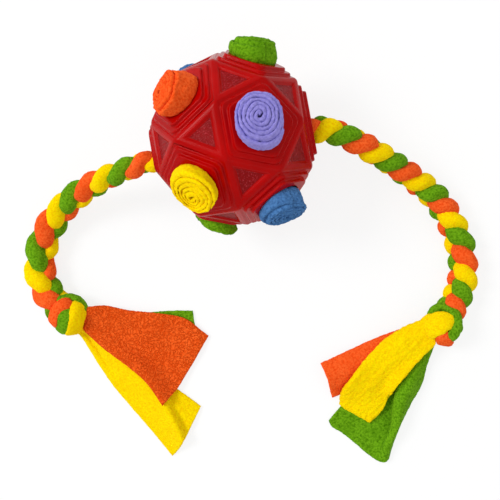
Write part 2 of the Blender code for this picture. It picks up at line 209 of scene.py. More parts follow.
def remap(tree: NodeTree, value: object, start: float, end: float,
          low: float = 0.0, high: float = 1.0) -> NodeSocket:
    """Add a ramp from low to high as the value goes from start to end, level beyond them."""
    return add_node(tree, "ShaderNodeMapRange", {
        "Value": value, "From Min": start, "From Max": end, "To Min": low, "To Max": high}).outputs[0]


def noise(tree: NodeTree, place: NodeSocket, size: float, detail: float = 1.0,
          roughness: float = 0.5) -> NodeSocket:
    """Add a cloudy pattern round 0.5, whose finer layers are counted by detail."""
    return add_node(tree, "ShaderNodeTexNoise", {
        "Vector": place, "Scale": 1 / size, "Detail": detail, "Roughness": roughness}).outputs[0]


# Large odd numbers that scatter the corners of value_noise's grid, and its seed
SCATTER = np.array([73856093, 19349663, 83492791])
SEED_SCATTER = 2654435761
MIXERS = ((13, 1274126177), (15, 2246822519))


def value_noise(points: np.ndarray, size: float | tuple, seed: int) -> np.ndarray:
    """Smooth random heights between -1 and 1, the same on each run.

    Args:
        points: One place per row.
        size: The length of a bump, or one length for each direction.
        seed: Picks the pattern.

    Returns:
        One height per place.
    """
    spots = points / np.array(size) + seed * 17.31
    base = np.floor(spots).astype(np.int64)
    share = smooth(spots - base)
    total = np.zeros(len(points))
    for corner in itertools.product((0, 1), repeat=3):
        cell = (base + np.array(corner)) * SCATTER
        mixed = cell[:, 0] ^ cell[:, 1] ^ cell[:, 2] ^ (seed + 7) * SEED_SCATTER
        for shift, factor in MIXERS:
            mixed = (mixed ^ mixed >> shift) * factor & 0xFFFFFFFF
        weight = np.prod(np.where(corner, share, 1 - share), axis=1)
        total += weight * ((mixed ^ mixed >> 16) & 0xFFFF) / 32767.5
    return total - 1


def smooth_line(points: list[Vector], steps: int) -> list[Vector]:
    """Close points along a smooth curve through the given ones.

    Args:
        points: The points that the curve passes.
        steps: How many points each stretch gets.

    Returns:
        The curve's points, both ends among them.
    """
    ends = [points[0] * 2 - points[1], *points, points[-1] * 2 - points[-2]]
    fine = []
    for before, start, end, after in zip(ends, ends[1:], ends[2:], ends[3:]):
        for index in range(steps):
            share = index / steps
            fine.append((
                start * 2 + (end - before) * share
                + (before * 2 - start * 5 + end * 4 - after) * share ** 2
                + (start * 3 - before - end * 3 + after) * share ** 3
            ) / 2)
    return [*fine, points[-1]]


def unit(rows: np.ndarray) -> np.ndarray:
    """Scale each row to length 1."""
    return rows / np.linalg.norm(rows, axis=-1, keepdims=True)


def running_mean(values: np.ndarray, half: int, **padding: str) -> np.ndarray:
    """Average each value with as many as half on either side of it."""
    return np.convolve(np.pad(values, half, **padding), np.ones(2 * half + 1) / (2 * half + 1), "valid")


def travelled(points: np.ndarray) -> np.ndarray:
    """How far along a line each of its points stands."""
    return np.concatenate([[0.0], np.cumsum(np.linalg.norm(np.diff(points, axis=0), axis=1))])


def link_object(name: str, data: ID) -> Object:
    """Make an object and put it in the scene.

    Args:
        name: The object's name.
        data: Its mesh, lamp or camera.

    Returns:
        The new object.
    """
    made = bpy.data.objects.new(name, data)
    bpy.context.collection.objects.link(made)
    return made


def face_outward(mesh: Mesh, merge: float = 0.0) -> None:
    """Turn a mesh's faces outward.

    Args:
        mesh: The mesh to change.
        merge: Points that are closer than this are joined first.
    """
    form = bmesh.new()
    form.from_mesh(mesh)
    if merge:
        bmesh.ops.remove_doubles(form, verts=form.verts[:], dist=merge)
    bmesh.ops.recalc_face_normals(form, faces=form.faces[:])
    form.to_mesh(mesh)
    form.free()


def add_piece(
        name: str, points: np.ndarray, faces: list, material: Material) -> Object:
    """Make a smooth-shaded mesh object.

    Args:
        name: The piece's name.
        points: One place per row.
        faces: Tuples of point numbers.
        material: The finish that the piece gets.

    Returns:
        The new object, linked to the scene.
    """
    mesh = bpy.data.meshes.new(name)
    mesh.from_pydata(points.tolist(), [], faces)
    mesh.materials.append(material)
    face_outward(mesh)
    mesh.polygons.foreach_set("use_smooth", [True] * len(mesh.polygons))
    return link_object(name, mesh)


def loop_faces(rows: int, columns: int) -> list[tuple]:
    """Faces of a closed tube of point loops, with a fan at each end.

    Args:
        rows: How many loops there are.
        columns: How many points each loop has.

    Returns:
        Tuples of point numbers; the two end middles are the last two points.
    """
    faces = []
    for row in range(rows - 1):
        for column in range(columns):
            after = (column + 1) % columns
            first, second = row * columns, (row + 1) * columns
            faces.append((first + column, first + after, second + after, second + column))
    for start, middle in ((0, rows * columns), ((rows - 1) * columns, rows * columns + 1)):
        faces += [(start + column, start + (column + 1) % columns, middle) for column in range(columns)]
    return faces


def close_loops(loops: np.ndarray) -> np.ndarray:
    """Flatten loops to a list of places and add the middle of the first and last one."""
    return np.vstack([loops.reshape(-1, 3), loops[0].mean(axis=0), loops[-1].mean(axis=0)])


# Each nap's broad and fine bumps: how wide they are and how high
NAP_BUMPS = {
    Nap.SMOOTH: ((1.3 * MM, 0.16 * MM), (0.7 * MM, 0.11 * MM)),
    Nap.TUFTED: ((1.3 * MM, 0.30 * MM), (0.7 * MM, 0.20 * MM)),
    Nap.PEBBLED: ((1.25 * MM, 0.16 * MM), (0.6 * MM, 0.06 * MM)),
    Nap.FURRY: ((1.1 * MM, 0.42 * MM), (0.6 * MM, 0.24 * MM)),
}

# How much of the way along the fur is taken out of its pattern, which draws the bumps long
BRUSHED_SHARE = 0.72


def raise_nap(piece: Object, nap: Nap, seed: int, along: tuple = (0.0, 0.0, 0.0)) -> None:
    """Move a fleece piece's surface in and out by its tufts.

    Args:
        piece: The piece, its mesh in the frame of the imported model.
        nap: The look of its face.
        seed: Picks the pattern.
        along: The way the fur is brushed, for furry nap only.
    """
    mesh = piece.data
    count = len(mesh.vertices)
    places = np.empty(count * 3)
    mesh.vertices.foreach_get("co", places)
    places = places.reshape(-1, 3)
    normals = np.empty(count * 3)
    mesh.vertex_normals.foreach_get("vector", normals)
    normals = normals.reshape(-1, 3)
    spots = places
    if nap is Nap.FURRY:
        way = unit(np.array(along, dtype=float))
        spots = places - np.outer(places @ way, way) * BRUSHED_SHARE
    (wide, high), (fine, low) = NAP_BUMPS[nap]
    bumps = value_noise(spots, wide, seed)
    if nap is Nap.PEBBLED:
        bumps = 1 - np.abs(bumps) * 2
    height = bumps * high + value_noise(spots, fine, seed + 1) * low
    places += normals * height[:, None]
    mesh.vertices.foreach_set("co", places.ravel())
    mesh.update()


# Finishes


@dataclass(frozen=True)
class BrushedFleece:
    """Anti-pill polyester fleece: knitted, then brushed up into a short dense nap.

    The eye sees no thread and no gloss, only small tufts with darker gaps between them and
    a pale bloom where the nap is seen from the side. The darkness of the gaps is painted shade:
    the shade colour stands in for the shade that falls down into the nap.
    """

    name: str
    lit: str
    shade: str
    bloom: str
    tuft: float = 1.3 * MM
    fibre: float = 0.35 * MM  # real fibres are 0.02 mm, drawn coarser so that they show
    cloud: float = 14 * MM
    tuft_range: tuple = (0.3, 0.6)
    cloud_range: tuple = (0.3, 0.7)
    cloud_shade: float = 0.72
    pebble: float = 0.0
    pebble_gap: float = 0.08
    fibre_share: float = 0.45
    relief: float = 0.5 * MM
    relief_strength: float = 0.8
    roughness: float = 0.92
    gloss: float = 0.04
    sheen: float = 0.08
    sheen_roughness: float = 0.4

    def build(self) -> Material:
        """Make the material.

        Returns:
            A Principled material with tufts, fibres and a pale bloom.
        """
        material = bpy.data.materials.new(self.name)
        tree = clear_tree(material)
        place = add_node(tree, "ShaderNodeTexCoord").outputs["Object"]
        coarse = noise(tree, place, self.tuft, 2.0, 0.6)
        fibres = noise(tree, place, self.fibre)
        clouds = noise(tree, place, self.cloud)
        shaded = remap(tree, clouds, *self.cloud_range, self.cloud_shade)
        # Painted shade: the share of the lit colour follows the tufts, so where they dip, and along the
        # pebble valleys where there are pebbles, the colour goes to the darker shade colour in place of the
        # shade that falls there.
        share = maths(tree, "MULTIPLY", remap(tree, coarse, *self.tuft_range), shaded)
        if self.pebble:
            worms = noise(tree, place, self.pebble, roughness=0.4)
            away = maths(tree, "ABSOLUTE", maths(tree, "SUBTRACT", worms, 0.5))
            coarse = remap(tree, away, 0.0, self.pebble_gap)
            share = maths(tree, "MULTIPLY", share, coarse)
        colour = blend(tree, share, linear(self.shade), linear(self.lit))
        height = maths(tree, "MULTIPLY_ADD", fibres, self.fibre_share, coarse)
        bump = add_node(tree, "ShaderNodeBump", {
            "Height": height, "Strength": self.relief_strength, "Distance": self.relief})
        shader = add_node(tree, "ShaderNodeBsdfPrincipled", {
            "Base Color": colour, "Roughness": self.roughness, "Normal": bump.outputs[0],
            "Specular IOR Level": self.gloss, "Sheen Weight": self.sheen,
            "Sheen Roughness": self.sheen_roughness, "Sheen Tint": linear(self.bloom)})
        add_node(tree, "ShaderNodeOutputMaterial", {"Surface": shader.outputs[0]})
        return material


@dataclass(frozen=True)
class MouldedRubber:
    """Natural rubber, moulded in a polished tool, with a leather grain where it is grained.

    The eye sees a deep red with a broad soft gloss and a few pale flow marks, rounded edges
    that catch the light, and on grained rubber small pebbles whose tops are painted paler, a
    painted highlight that stands in for the lamp's glints on the grain.
    """

    name: str
    colour: str
    deep: str
    roughness: tuple = (0.2, 0.26)
    gloss: float = 0.07
    refraction: float = 1.52
    flow: float = 18 * MM
    speck: float = 1.1 * MM
    speck_depth: float = 0.03 * MM
    speck_strength: float = 0.1
    flow_range: tuple = (0.35, 0.65)
    speck_range: tuple = (0.3, 0.7)
    grain: float = 0.0
    grain_depth: float = 0.4 * MM
    grain_painted_glint: str = "#CC424C"
    painted_glint_range: tuple = (0.12, 0.34)
    painted_glint_share: float = 0.7

    def build(self) -> Material:
        """Make the material.

        Returns:
            A Principled material, with pebbles and a painted highlight on their tops where the rubber is
            grained.
        """
        material = bpy.data.materials.new(self.name)
        tree = clear_tree(material)
        place = add_node(tree, "ShaderNodeTexCoord").outputs["Object"]
        flow = noise(tree, place, self.flow, 3.0)
        specks = noise(tree, place, self.speck, 2.0)
        marks = remap(tree, flow, *self.flow_range)
        colour = blend(tree, marks, linear(self.deep), linear(self.colour))
        rough = remap(tree, specks, *self.speck_range, *self.roughness)
        if self.grain:
            pebbles = add_node(tree, "ShaderNodeTexVoronoi", {
                "Vector": place, "Scale": 1 / self.grain}, feature="SMOOTH_F1").outputs["Distance"]
            # Painted highlight: the pebble tops are mixed towards a pale pink in place of the lamp's glints
            # on the grain.
            painted_glints = remap(tree, pebbles, *self.painted_glint_range, self.painted_glint_share, 0.0)
            colour = blend(tree, painted_glints, colour, linear(self.grain_painted_glint))
            bump = add_node(tree, "ShaderNodeBump", {
                "Height": pebbles, "Strength": 1.0, "Distance": self.grain_depth}, invert=True)
        else:
            bump = add_node(tree, "ShaderNodeBump", {
                "Height": specks, "Strength": self.speck_strength, "Distance": self.speck_depth})
        shader = add_node(tree, "ShaderNodeBsdfPrincipled", {
            "Base Color": colour, "Roughness": rough, "Normal": bump.outputs[0],
            "IOR": self.refraction, "Specular IOR Level": self.gloss})
        add_node(tree, "ShaderNodeOutputMaterial", {"Surface": shader.outputs[0]})
        return material


# Each fleece: its name, its lit colour on the tuft tops, its shade colour (painted shade for the gaps
# between the tufts) and its sheen tint.
FLEECES = {
    "purple": BrushedFleece("fleece_brushed_purple", "#A39AE6", "#8880D0", "#DCD8FF"),
    "yellow": BrushedFleece("fleece_brushed_yellow", "#FFE400", "#F6C400", "#FFE860"),
    "blue": BrushedFleece("fleece_brushed_blue", "#5386C0", "#335C90", "#A8C8E8"),
    "orange": BrushedFleece("fleece_brushed_orange", "#FF6A2C", "#E8440A", "#FF9A60"),
    "green": BrushedFleece("fleece_brushed_green", "#74AE18", "#447802", "#B4D878"),
    "orange_pebbled": BrushedFleece(
        "fleece_pebbled_orange", "#FF6A26", "#DC4608", "#FF9A60", pebble=1.9 * MM),
}
RUBBER = MouldedRubber("rubber_moulded_red", "#B40000", "#A60000")
# The grained rubber gets the painted highlight on its pebble tops.
RUBBER_GRAINED = MouldedRubber(
    "rubber_moulded_red_grained", "#900206", "#7C0104", (0.34, 0.44), 0.09, grain=0.8 * MM)


class Wardrobe:
    """Makes each finish once and hands it out."""

    def __init__(self) -> None:
        """Build every material of the object."""
        self.fleece = {colour: finish.build() for colour, finish in FLEECES.items()}
        self.rubber = RUBBER.build()
        self.grained = RUBBER_GRAINED.build()


# Studio


@dataclass(frozen=True)
class Lamp:
    """A square lamp that faces the object."""

    name: str
    place: tuple
    power: float
    size: float


LAMPS = (Lamp("key_lamp", (-1.5, 0.9, 2.0), 37.0, 0.9), Lamp("fill_lamp", (1.4, -1.2, 1.6), 3.0, 1.4))


@dataclass
class Studio:
    """Camera, floor and soft light."""

    lens: float = 46.8
    sensor: float = 36.0
    nearest: float = 0.01
    place: tuple = (0.0455, -0.0401, 0.4248)
    right: tuple = (0.9788, -0.1726, -0.1099)
    upward: tuple = (0.1636, 0.9827, -0.0865)
    back: tuple = (0.1229, 0.0667, 0.9902)
    floor_half: float = 3.0
    floor_glow: float = 0.82
    sky_range: tuple = (0.2, 0.95)
    sky_low: float = 0.5
    sky_high: float = 0.75

    def place_camera(self) -> None:
        """Set the camera at the photo's viewing angle."""
        data = bpy.data.cameras.new("camera")
        data.lens = self.lens
        data.sensor_width = self.sensor
        data.clip_start = self.nearest
        camera = link_object("camera", data)
        turn = Matrix((self.right, self.upward, self.back)).transposed().to_4x4()
        camera.matrix_world = Matrix.Translation(self.place) @ turn
        bpy.context.scene.camera = camera

    def seen_share(self, tree: NodeTree) -> NodeSocket:
        """Add the nodes that are 1 for what is seen directly, mirrored or through glass.

        Args:
            tree: The node tree to add to.

        Returns:
            The socket that is 1 on such rays and 0 on rays that only light.
        """
        rays = add_node(tree, "ShaderNodeLightPath").outputs
        seen = maths(tree, "MAXIMUM", rays["Is Camera Ray"], rays["Is Glossy Ray"])
        return maths(tree, "MAXIMUM", seen, rays["Is Transmission Ray"])

    def lay_floor(self) -> None:
        """Lay a white sheet that keeps a faint shadow of the object."""
        half = self.floor_half
        corners = np.array([(-half, -half, 0), (half, -half, 0), (half, half, 0), (-half, half, 0)])
        material = bpy.data.materials.new("paper_matt_white")
        tree = clear_tree(material)
        share = maths(tree, "MULTIPLY", self.seen_share(tree), self.floor_glow)
        paper = add_node(tree, "ShaderNodeBsdfDiffuse", {"Color": linear("#FFFFFF")})
        glow = add_node(tree, "ShaderNodeEmission", {"Color": linear("#FFFFFF"), "Strength": 1.0})
        mixed = add_node(tree, "ShaderNodeMixShader", {0: share, 1: paper.outputs[0], 2: glow.outputs[0]})
        add_node(tree, "ShaderNodeOutputMaterial", {"Surface": mixed.outputs[0]})
        add_piece("floor", corners, [(0, 1, 2, 3)], material)

    def light(self) -> None:
        """Add a soft sky that is brighter overhead, a key lamp and a weak fill lamp."""
        world = bpy.data.worlds.new("soft_sky")
        bpy.context.scene.world = world
        tree = clear_tree(world)
        way = add_node(tree, "ShaderNodeTexCoord").outputs["Generated"]
        parts = add_node(tree, "ShaderNodeSeparateXYZ", {"Vector": way})
        level = remap(tree, parts.outputs[2], *self.sky_range, self.sky_low, self.sky_high)
        seen = add_node(tree, "ShaderNodeMix", {
            0: self.seen_share(tree), 2: level, 3: 1.0}, data_type="FLOAT")
        sky = add_node(tree, "ShaderNodeBackground", {
            "Color": linear("#FFFFFF"), "Strength": seen.outputs[0]})
        add_node(tree, "ShaderNodeOutputWorld", {"Surface": sky.outputs[0]})
        for lamp in LAMPS:
            data = bpy.data.lights.new(lamp.name, "AREA")
            data.energy = lamp.power
            data.size = lamp.size
            holder = link_object(lamp.name, data)
            holder.location = lamp.place
            holder.rotation_euler = (-Vector(lamp.place)).to_track_quat("-Z", "Y").to_euler()

    def build(self) -> None:
        """Set up the whole studio."""
        self.place_camera()
        self.lay_floor()
        self.light()
        bpy.context.scene.view_settings.view_transform = "Standard"


# Rope


@dataclass
class Plait:
    """Three fleece strands plaited into one rope, from knot to knot through the ball.

    A strand swings across the rope by sway and through it by dive. Lobe places are lengths
    along the rope from the ball where a strand shows at the outer edge, in millimetres, and
    turns are pairs of such a length and how far the plait is rolled up on its outer edge, in
    degrees. swell is pairs of a length from the left knot, in millimetres, and the plait's size
    there. A strand is fuller by lobe_share and leaf_share where it shows at the outer edge.
    """

    wardrobe: Wardrobe
    sway: float = 3.8 * MM
    dive: float = 3.0 * MM
    broad: float = 4.7 * MM
    thick: float = 4.9 * MM
    reach_in_knot: float = 7.0 * MM
    cut: float = 44.5 * MM
    step: float = 0.6 * MM
    sides: int = 40
    lobe_lead: float = 28.0
    body_share: float = 0.98
    lobe_share: float = 0.11
    leaf_share: float = 0.3
    point_share: float = 0.06
    inner_share: float = 0.95
    fold_share: float = 0.035
    tip: float = 0.35
    lump: float = 5.5 * MM
    lump_share: float = 0.07
    lowest: float = 0.25 * MM
    fine_steps: int = 40
    way_passes: int = 12
    turn_half: int = 20
    swing_half: int = 10
    left_lobes: tuple = (-0.5, 12, 26, 40, 58, 74.5, 90.5, 106.5, 123.5, 140.5, 153)
    right_lobes: tuple = (2.6, 13, 25, 37.6, 49.6, 61.7, 75, 87, 98.5, 109.7, 121.3, 134.3, 145, 156, 165)
    swell: tuple = (
        (0, 1.12), (45, 1.12), (80, 1.0), (150, 0.87), (161, 0.8), (243, 0.8), (255, 0.9), (300, 0.94),
        (350, 0.97), (425, 1.0))
    left_turns: tuple = ((0, 104), (25, 96), (42, 80), (75, 62), (106, 54), (137, 40), (170, 30))
    right_turns: tuple = ((0, 108), (30, 98), (42, 88), (66, 76), (102, 64), (136, 52), (180, 44))
    colours: tuple = ("orange", "yellow", "green")
    inside_lobes: int = 9
    groups: dict = field(default_factory=dict)

    def lay_line(self) -> None:
        """Work out the rope's middle line, its directions and its lengths from the left knot."""
        halves = {}
        for side, route in ((-1, LEFT_ROUTE), (1, RIGHT_ROUTE)):
            start = Vector((side * ROPE_START, -ROPE_DROP, BALL_HEIGHT))
            lead = start + Vector((side * ROPE_LEAD, 0.0, 0.0))
            halves[side] = smooth_line([start, lead, *(Vector(place) for place in route)], self.fine_steps)
        every = self.fine_steps // 2
        self.paths = {"left": halves[-1][::every], "right": halves[1][::every]}
        line = []
        for fine in halves.values():
            way = (fine[-1] - fine[-2]).normalized()
            ends = [fine[-1] + way * self.reach_in_knot * share for share in (0.25, 0.5, 0.75, 1.0)]
            line.append(fine + ends)
        full = np.array([*reversed(line[0]), *line[1]])
        lengths = travelled(full)
        self.along = np.linspace(0, lengths[-1], int(lengths[-1] / self.step))
        self.middle = np.stack([np.interp(self.along, lengths, full[:, axis]) for axis in range(3)], axis=1)
        self.left_end = lengths[len(line[0]) - 1]
        self.right_end = lengths[len(line[0])]

    def frames(self) -> tuple[np.ndarray, np.ndarray]:
        """Directions across and through the plait at each point of the line.

        Returns:
            The outward direction and the direction towards the viewer.
        """
        soft = self.middle.copy()
        for _ in range(self.way_passes):
            soft[1:-1] = (soft[:-2] + soft[1:-1] * 2 + soft[2:]) / 4
        way = unit(np.gradient(soft, axis=0))
        side = unit(np.cross(np.array([0.0, 0.0, 1.0]), way))
        face = np.cross(way, side)
        stops = [(self.left_end - place * MM, turn) for place, turn in reversed(self.left_turns)]
        stops += [(self.right_end + place * MM, turn) for place, turn in self.right_turns]
        turn = np.radians(np.interp(self.along, *zip(*stops)))
        turn = running_mean(turn, self.turn_half, mode="edge")[:, None]
        return side * np.cos(turn) + face * np.sin(turn), face * np.cos(turn) - side * np.sin(turn)

    def phases(self) -> np.ndarray:
        """Work out how far round its swing the first strand is.

        Returns:
            An angle for each point of the line, in radians.
        """
        left = [self.left_end - place * MM for place in reversed(self.left_lobes)]
        right = [self.right_end + place * MM for place in self.right_lobes]
        numbers = list(range(len(left)))
        numbers += [numbers[-1] + self.inside_lobes + index for index in range(len(right))]
        stops = np.array(left + right)
        turns = np.array(numbers) * THIRD
        first, last = stops[1] - stops[0], stops[-1] - stops[-2]
        stops = np.concatenate([[stops[0] - first], stops, [stops[-1] + last]])
        turns = np.concatenate([[turns[0] - THIRD], turns, [turns[-1] + THIRD]])
        swing = np.interp(self.along, stops, turns)
        swing = running_mean(swing, self.swing_half, mode="reflect", reflect_type="odd")
        return swing - radians(self.lobe_lead)

    def strand(self, number: int) -> np.ndarray:
        """Loops of points round one strand.

        Args:
            number: Which of the three strands.

        Returns:
            An array of loops, points and coordinates.
        """
        outward, face = self.frames()
        swing = self.phases() - number * THIRD
        size = np.interp(self.along / MM, *zip(*self.swell))
        beside = np.cos(swing)
        outer = beside + self.point_share * np.sin(pi * beside)
        spread = np.where(beside > 0, outer, np.sin(beside * pi / 2) * self.inner_share)
        line = self.middle + outward * (self.sway * size * spread)[:, None]
        line -= face * (self.dive * size * np.sin(2 * swing))[:, None]
        way = unit(np.gradient(line, axis=0))
        broad = unit(np.cross(face, way))
        up = np.cross(way, broad)
        angles = np.linspace(0, 2 * pi, self.sides, endpoint=False)
        lean = self.tip * np.sin(2 * swing)[:, None]
        folds = 1 + self.fold_share * np.cos(3 * angles[None, :] + 1.5 * np.sin(swing)[:, None] + number)
        plump = (size * (self.body_share + self.lobe_share * beside))[:, None] * folds
        leaf = (1 + self.leaf_share * np.maximum(beside, 0) ** 3)[:, None]
        over = (np.cos(angles + lean) * self.broad * leaf * plump)[..., None]
        out = (np.sin(angles + lean) * self.thick * plump)[..., None]
        return line[:, None, :] + broad[:, None, :] * over + up[:, None, :] * out

    def build(self) -> None:
        """Make the strands of the left, inner and right stretches."""
        self.lay_line()
        inside = np.abs(self.middle[:, 0]) < self.cut
        first = int(np.argmax(inside))
        last = len(inside) - int(np.argmax(inside[::-1])) - 1
        parts = {"left": (0, first + 1), "inside": (first, last + 1), "right": (last, len(inside))}
        for number, colour in enumerate(self.colours):
            loops = self.strand(number)
            flat = loops.reshape(-1, 3)
            lumps = value_noise(flat, self.lump, 40 + number).reshape(loops.shape[:2])
            centre = loops.mean(axis=1, keepdims=True)
            loops = centre + (loops - centre) * (1 + self.lump_share * lumps)[..., None]
            loops[..., 2] = np.maximum(loops[..., 2], self.lowest)
            for part, (start, end) in parts.items():
                rows = loops[start:end]
                piece = add_piece(
                    f"rope_{part}_{colour}_strand", close_loops(rows), loop_faces(len(rows), self.sides),
                    self.wardrobe.fleece[colour])
                raise_nap(piece, Nap.SMOOTH, 3 + number)
                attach(piece, "rope")
                self.groups.setdefault(part, []).append(piece)
                LOG.info("%s: %d points", piece.name, len(piece.data.vertices))
        for part, node in (("left", "rope_left"), ("inside", "rope_core"), ("right", "rope_right")):
            for piece in self.groups[part]:
                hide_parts(node)

    def declare(self, side: str, pieces: list[Object]) -> None:
        """Do nothing with one free stretch.

        Args:
            side: left or right; not used.
            pieces: The knot and tails at its far end; not used.
        """


@dataclass(frozen=True)
class Wrap:
    """One band of a knot: its colour, its size and its way over the knot.

    Points are pairs of degrees: the angle about the vertical from +X, and the angle up. proud
    is how far the band stands out of the knot's skin.
    """

    name: str
    colour: str
    points: tuple
    broad: float = 4.3 * MM
    thick: float = 2.6 * MM
    proud: float = 0.0


LEFT_WRAPS = (
    Wrap("upper_wrap", "green", ((102, -10), (102, 15), (72, 0), (42, 0), (15, 0), (15, -20)),
         broad=4.2 * MM, proud=1.0 * MM),
    Wrap("lower_wrap", "green", ((48, 51), (-54, 81), (-108, 48), (-114, 12), (-114, -28)), broad=5.4 * MM),
    Wrap("outer_wrap", "orange", ((54, 27), (84, 45), (120, 54), (162, 54), (-168, 45), (-168, -25)),
         broad=4.6 * MM, proud=0.8 * MM),
    Wrap("front_wrap", "yellow", ((36, -5), (36, 0), (18, 27), (-21, 45), (-66, 27), (-81, 6), (-81, -28)),
         broad=5.8 * MM, thick=3.0 * MM, proud=0.7 * MM),
)
RIGHT_WRAPS = (
    Wrap("lower_wrap", "orange", ((-147, 72), (-118, 46), (-104, 14), (-100, -6), (-98, -28)),
         broad=5.2 * MM, proud=0.6 * MM),
    Wrap("upper_wrap", "green",
         ((132, -10), (132, 0), (111, 0), (87, 6), (60, 36), (27, 57), (-30, 66), (-75, 54), (-75, -28)),
         broad=3.7 * MM, proud=0.7 * MM),
    Wrap("front_wrap", "yellow", ((0, 76), (108, 78), (153, 57), (-180, 27), (-168, 0), (-168, -15)),
         broad=6.9 * MM, thick=4.0 * MM, proud=1.8 * MM),
)


@dataclass
class Knot:
    """A pulled-tight knot: bands of fleece wound over a gathered heart."""

    wardrobe: Wardrobe
    side: str
    wraps: tuple
    heart: str
    shift: tuple
    rows: int = 56
    sides: int = 32
    fold_share: float = 0.05
    least_taper: float = 0.02
    heart_depth: float = 3.2 * MM
    pleat_depth: float = 0.5 * MM
    pleats: int = 7
    heart_up: float = 86.0
    heart_rows: int = 36
    heart_sides: int = 64
    lowest: float = 0.25 * MM

    def surface(self, around: float, up: float, sink: float) -> Vector:
        """A point under the knot's outer skin.

        Args:
            around: Degrees about the vertical from +X.
            up: Degrees up.
            sink: Depth under the skin.

        Returns:
            The place.
        """
        turn, rise = radians(around), radians(up)
        flat = (KNOT_RADIUS - sink) * cos(rise)
        place = Vector((flat * cos(turn), flat * sin(turn), (KNOT_HALF_HEIGHT - sink) * sin(rise)))
        return KNOTS[self.side] + Vector(self.shift) + place

    def wind(self, wrap: Wrap, number: int) -> Object:
        """Make one band.

        Args:
            wrap: The band's size and way.
            number: Its place in the knot, for its pattern.

        Returns:
            The band.
        """
        stops = [self.surface(around, up, wrap.thick - wrap.proud) for around, up in wrap.points]
        line = np.array(smooth_line(stops, self.rows // (len(stops) - 1)))
        middle = np.array(KNOTS[self.side]) + np.array(self.shift)
        way = unit(np.gradient(line, axis=0))
        out = unit((line - middle) / np.array([KNOT_RADIUS, KNOT_RADIUS, KNOT_HALF_HEIGHT]) ** 2)
        side = unit(np.cross(way, out))
        out = np.cross(side, way)
        angles = np.linspace(0, 2 * pi, self.sides, endpoint=False)
        far = travelled(line)
        from_end = np.clip(np.minimum(far, far[-1] - far) / wrap.broad, self.least_taper, 1)
        taper = np.sqrt(1 - (1 - from_end) ** 2)[:, None]
        folds = 1 + self.fold_share * np.cos(4 * angles + 6 * (far / far[-1])[:, None] + number * 2)
        broad = np.cos(angles) * wrap.broad * taper * folds
        thick = np.sin(angles) * wrap.thick * taper * folds
        loops = line[:, None, :] + side[:, None, :] * broad[..., None] + out[:, None, :] * thick[..., None]
        loops[..., 2] = np.maximum(loops[..., 2], self.lowest)
        faces = loop_faces(len(line), self.sides)
        piece = add_piece(
            f"knot_{self.side}_{wrap.colour}_{wrap.name}", close_loops(loops), faces,
            self.wardrobe.fleece[wrap.colour])
        raise_nap(piece, Nap.SMOOTH, 60 + number)
        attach(piece, "rope")
        return piece

    def gather(self) -> Object:
        """Make the pleated heart that fills the gaps between the bands.

        Returns:
            The heart.
        """
        ups = np.linspace(-self.heart_up, self.heart_up, self.heart_rows)
        arounds = np.linspace(0, 360, self.heart_sides, endpoint=False)
        loops = []
        for up in ups:
            depths = [self.heart_depth + self.pleat_depth * cos(radians(around * self.pleats + up * 2))
                      for around in arounds]
            loops.append([self.surface(around, up, depth) for around, depth in zip(arounds, depths)])
        loops = np.array(loops)
        loops[..., 2] = np.maximum(loops[..., 2], self.lowest)
        piece = add_piece(
            f"knot_{self.side}_{self.heart}_heart", close_loops(loops), loop_faces(len(ups), len(arounds)),
            self.wardrobe.fleece[self.heart])
        raise_nap(piece, Nap.SMOOTH, 71)
        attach(piece, "rope")
        return piece

    def build(self) -> list[Object]:
        """Make the whole knot.

        Returns:
            Its pieces.
        """
        pieces = [self.gather()]
        for number, wrap in enumerate(self.wraps):
            pieces.append(self.wind(wrap, number))
        for piece in pieces:
            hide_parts(f"knot_{self.side}")
            LOG.info("%s: %d points", piece.name, len(piece.data.vertices))
        return pieces


# Tails


# How each tail lies: rows from inside its knot to its end, each with the same number of points
# of the sheet's middle from one long edge to the other, in millimetres. Points that lie close
# together make a crease. The rows were worked out with the camera that was fitted to the photo,
# from places picked in it and a height for each.
LEFT_GREEN_ROWS = (
    ((-129.7, -96.4, 4.0), (-127.8, -94.2, 6.0), (-126.7, -92.3, 6.0), (-126.4, -90.6, 4.0)),
    ((-125.5, -100.9, 2.5), (-123.1, -97.2, 5.0), (-121.7, -94.0, 5.0), (-121.4, -91.5, 3.5)),
    ((-110.9, -111.8, 1.2), (-108.2, -107.0, 2.2), (-105.6, -101.8, 2.6), (-103.5, -97.1, 1.8)),
    ((-95.0, -121.9, 1.1), (-92.1, -114.6, 1.3), (-89.2, -106.6, 1.4), (-86.9, -98.5, 1.3)),
    ((-76.4, -128.1, 1.1), (-73.7, -119.4, 1.2), (-71.2, -110.1, 1.2), (-68.6, -100.0, 1.2)),
    ((-53.1, -130.9, 1.1), (-52.4, -121.3, 1.1), (-52.5, -110.3, 1.1), (-52.2, -102.3, 1.1)),
)
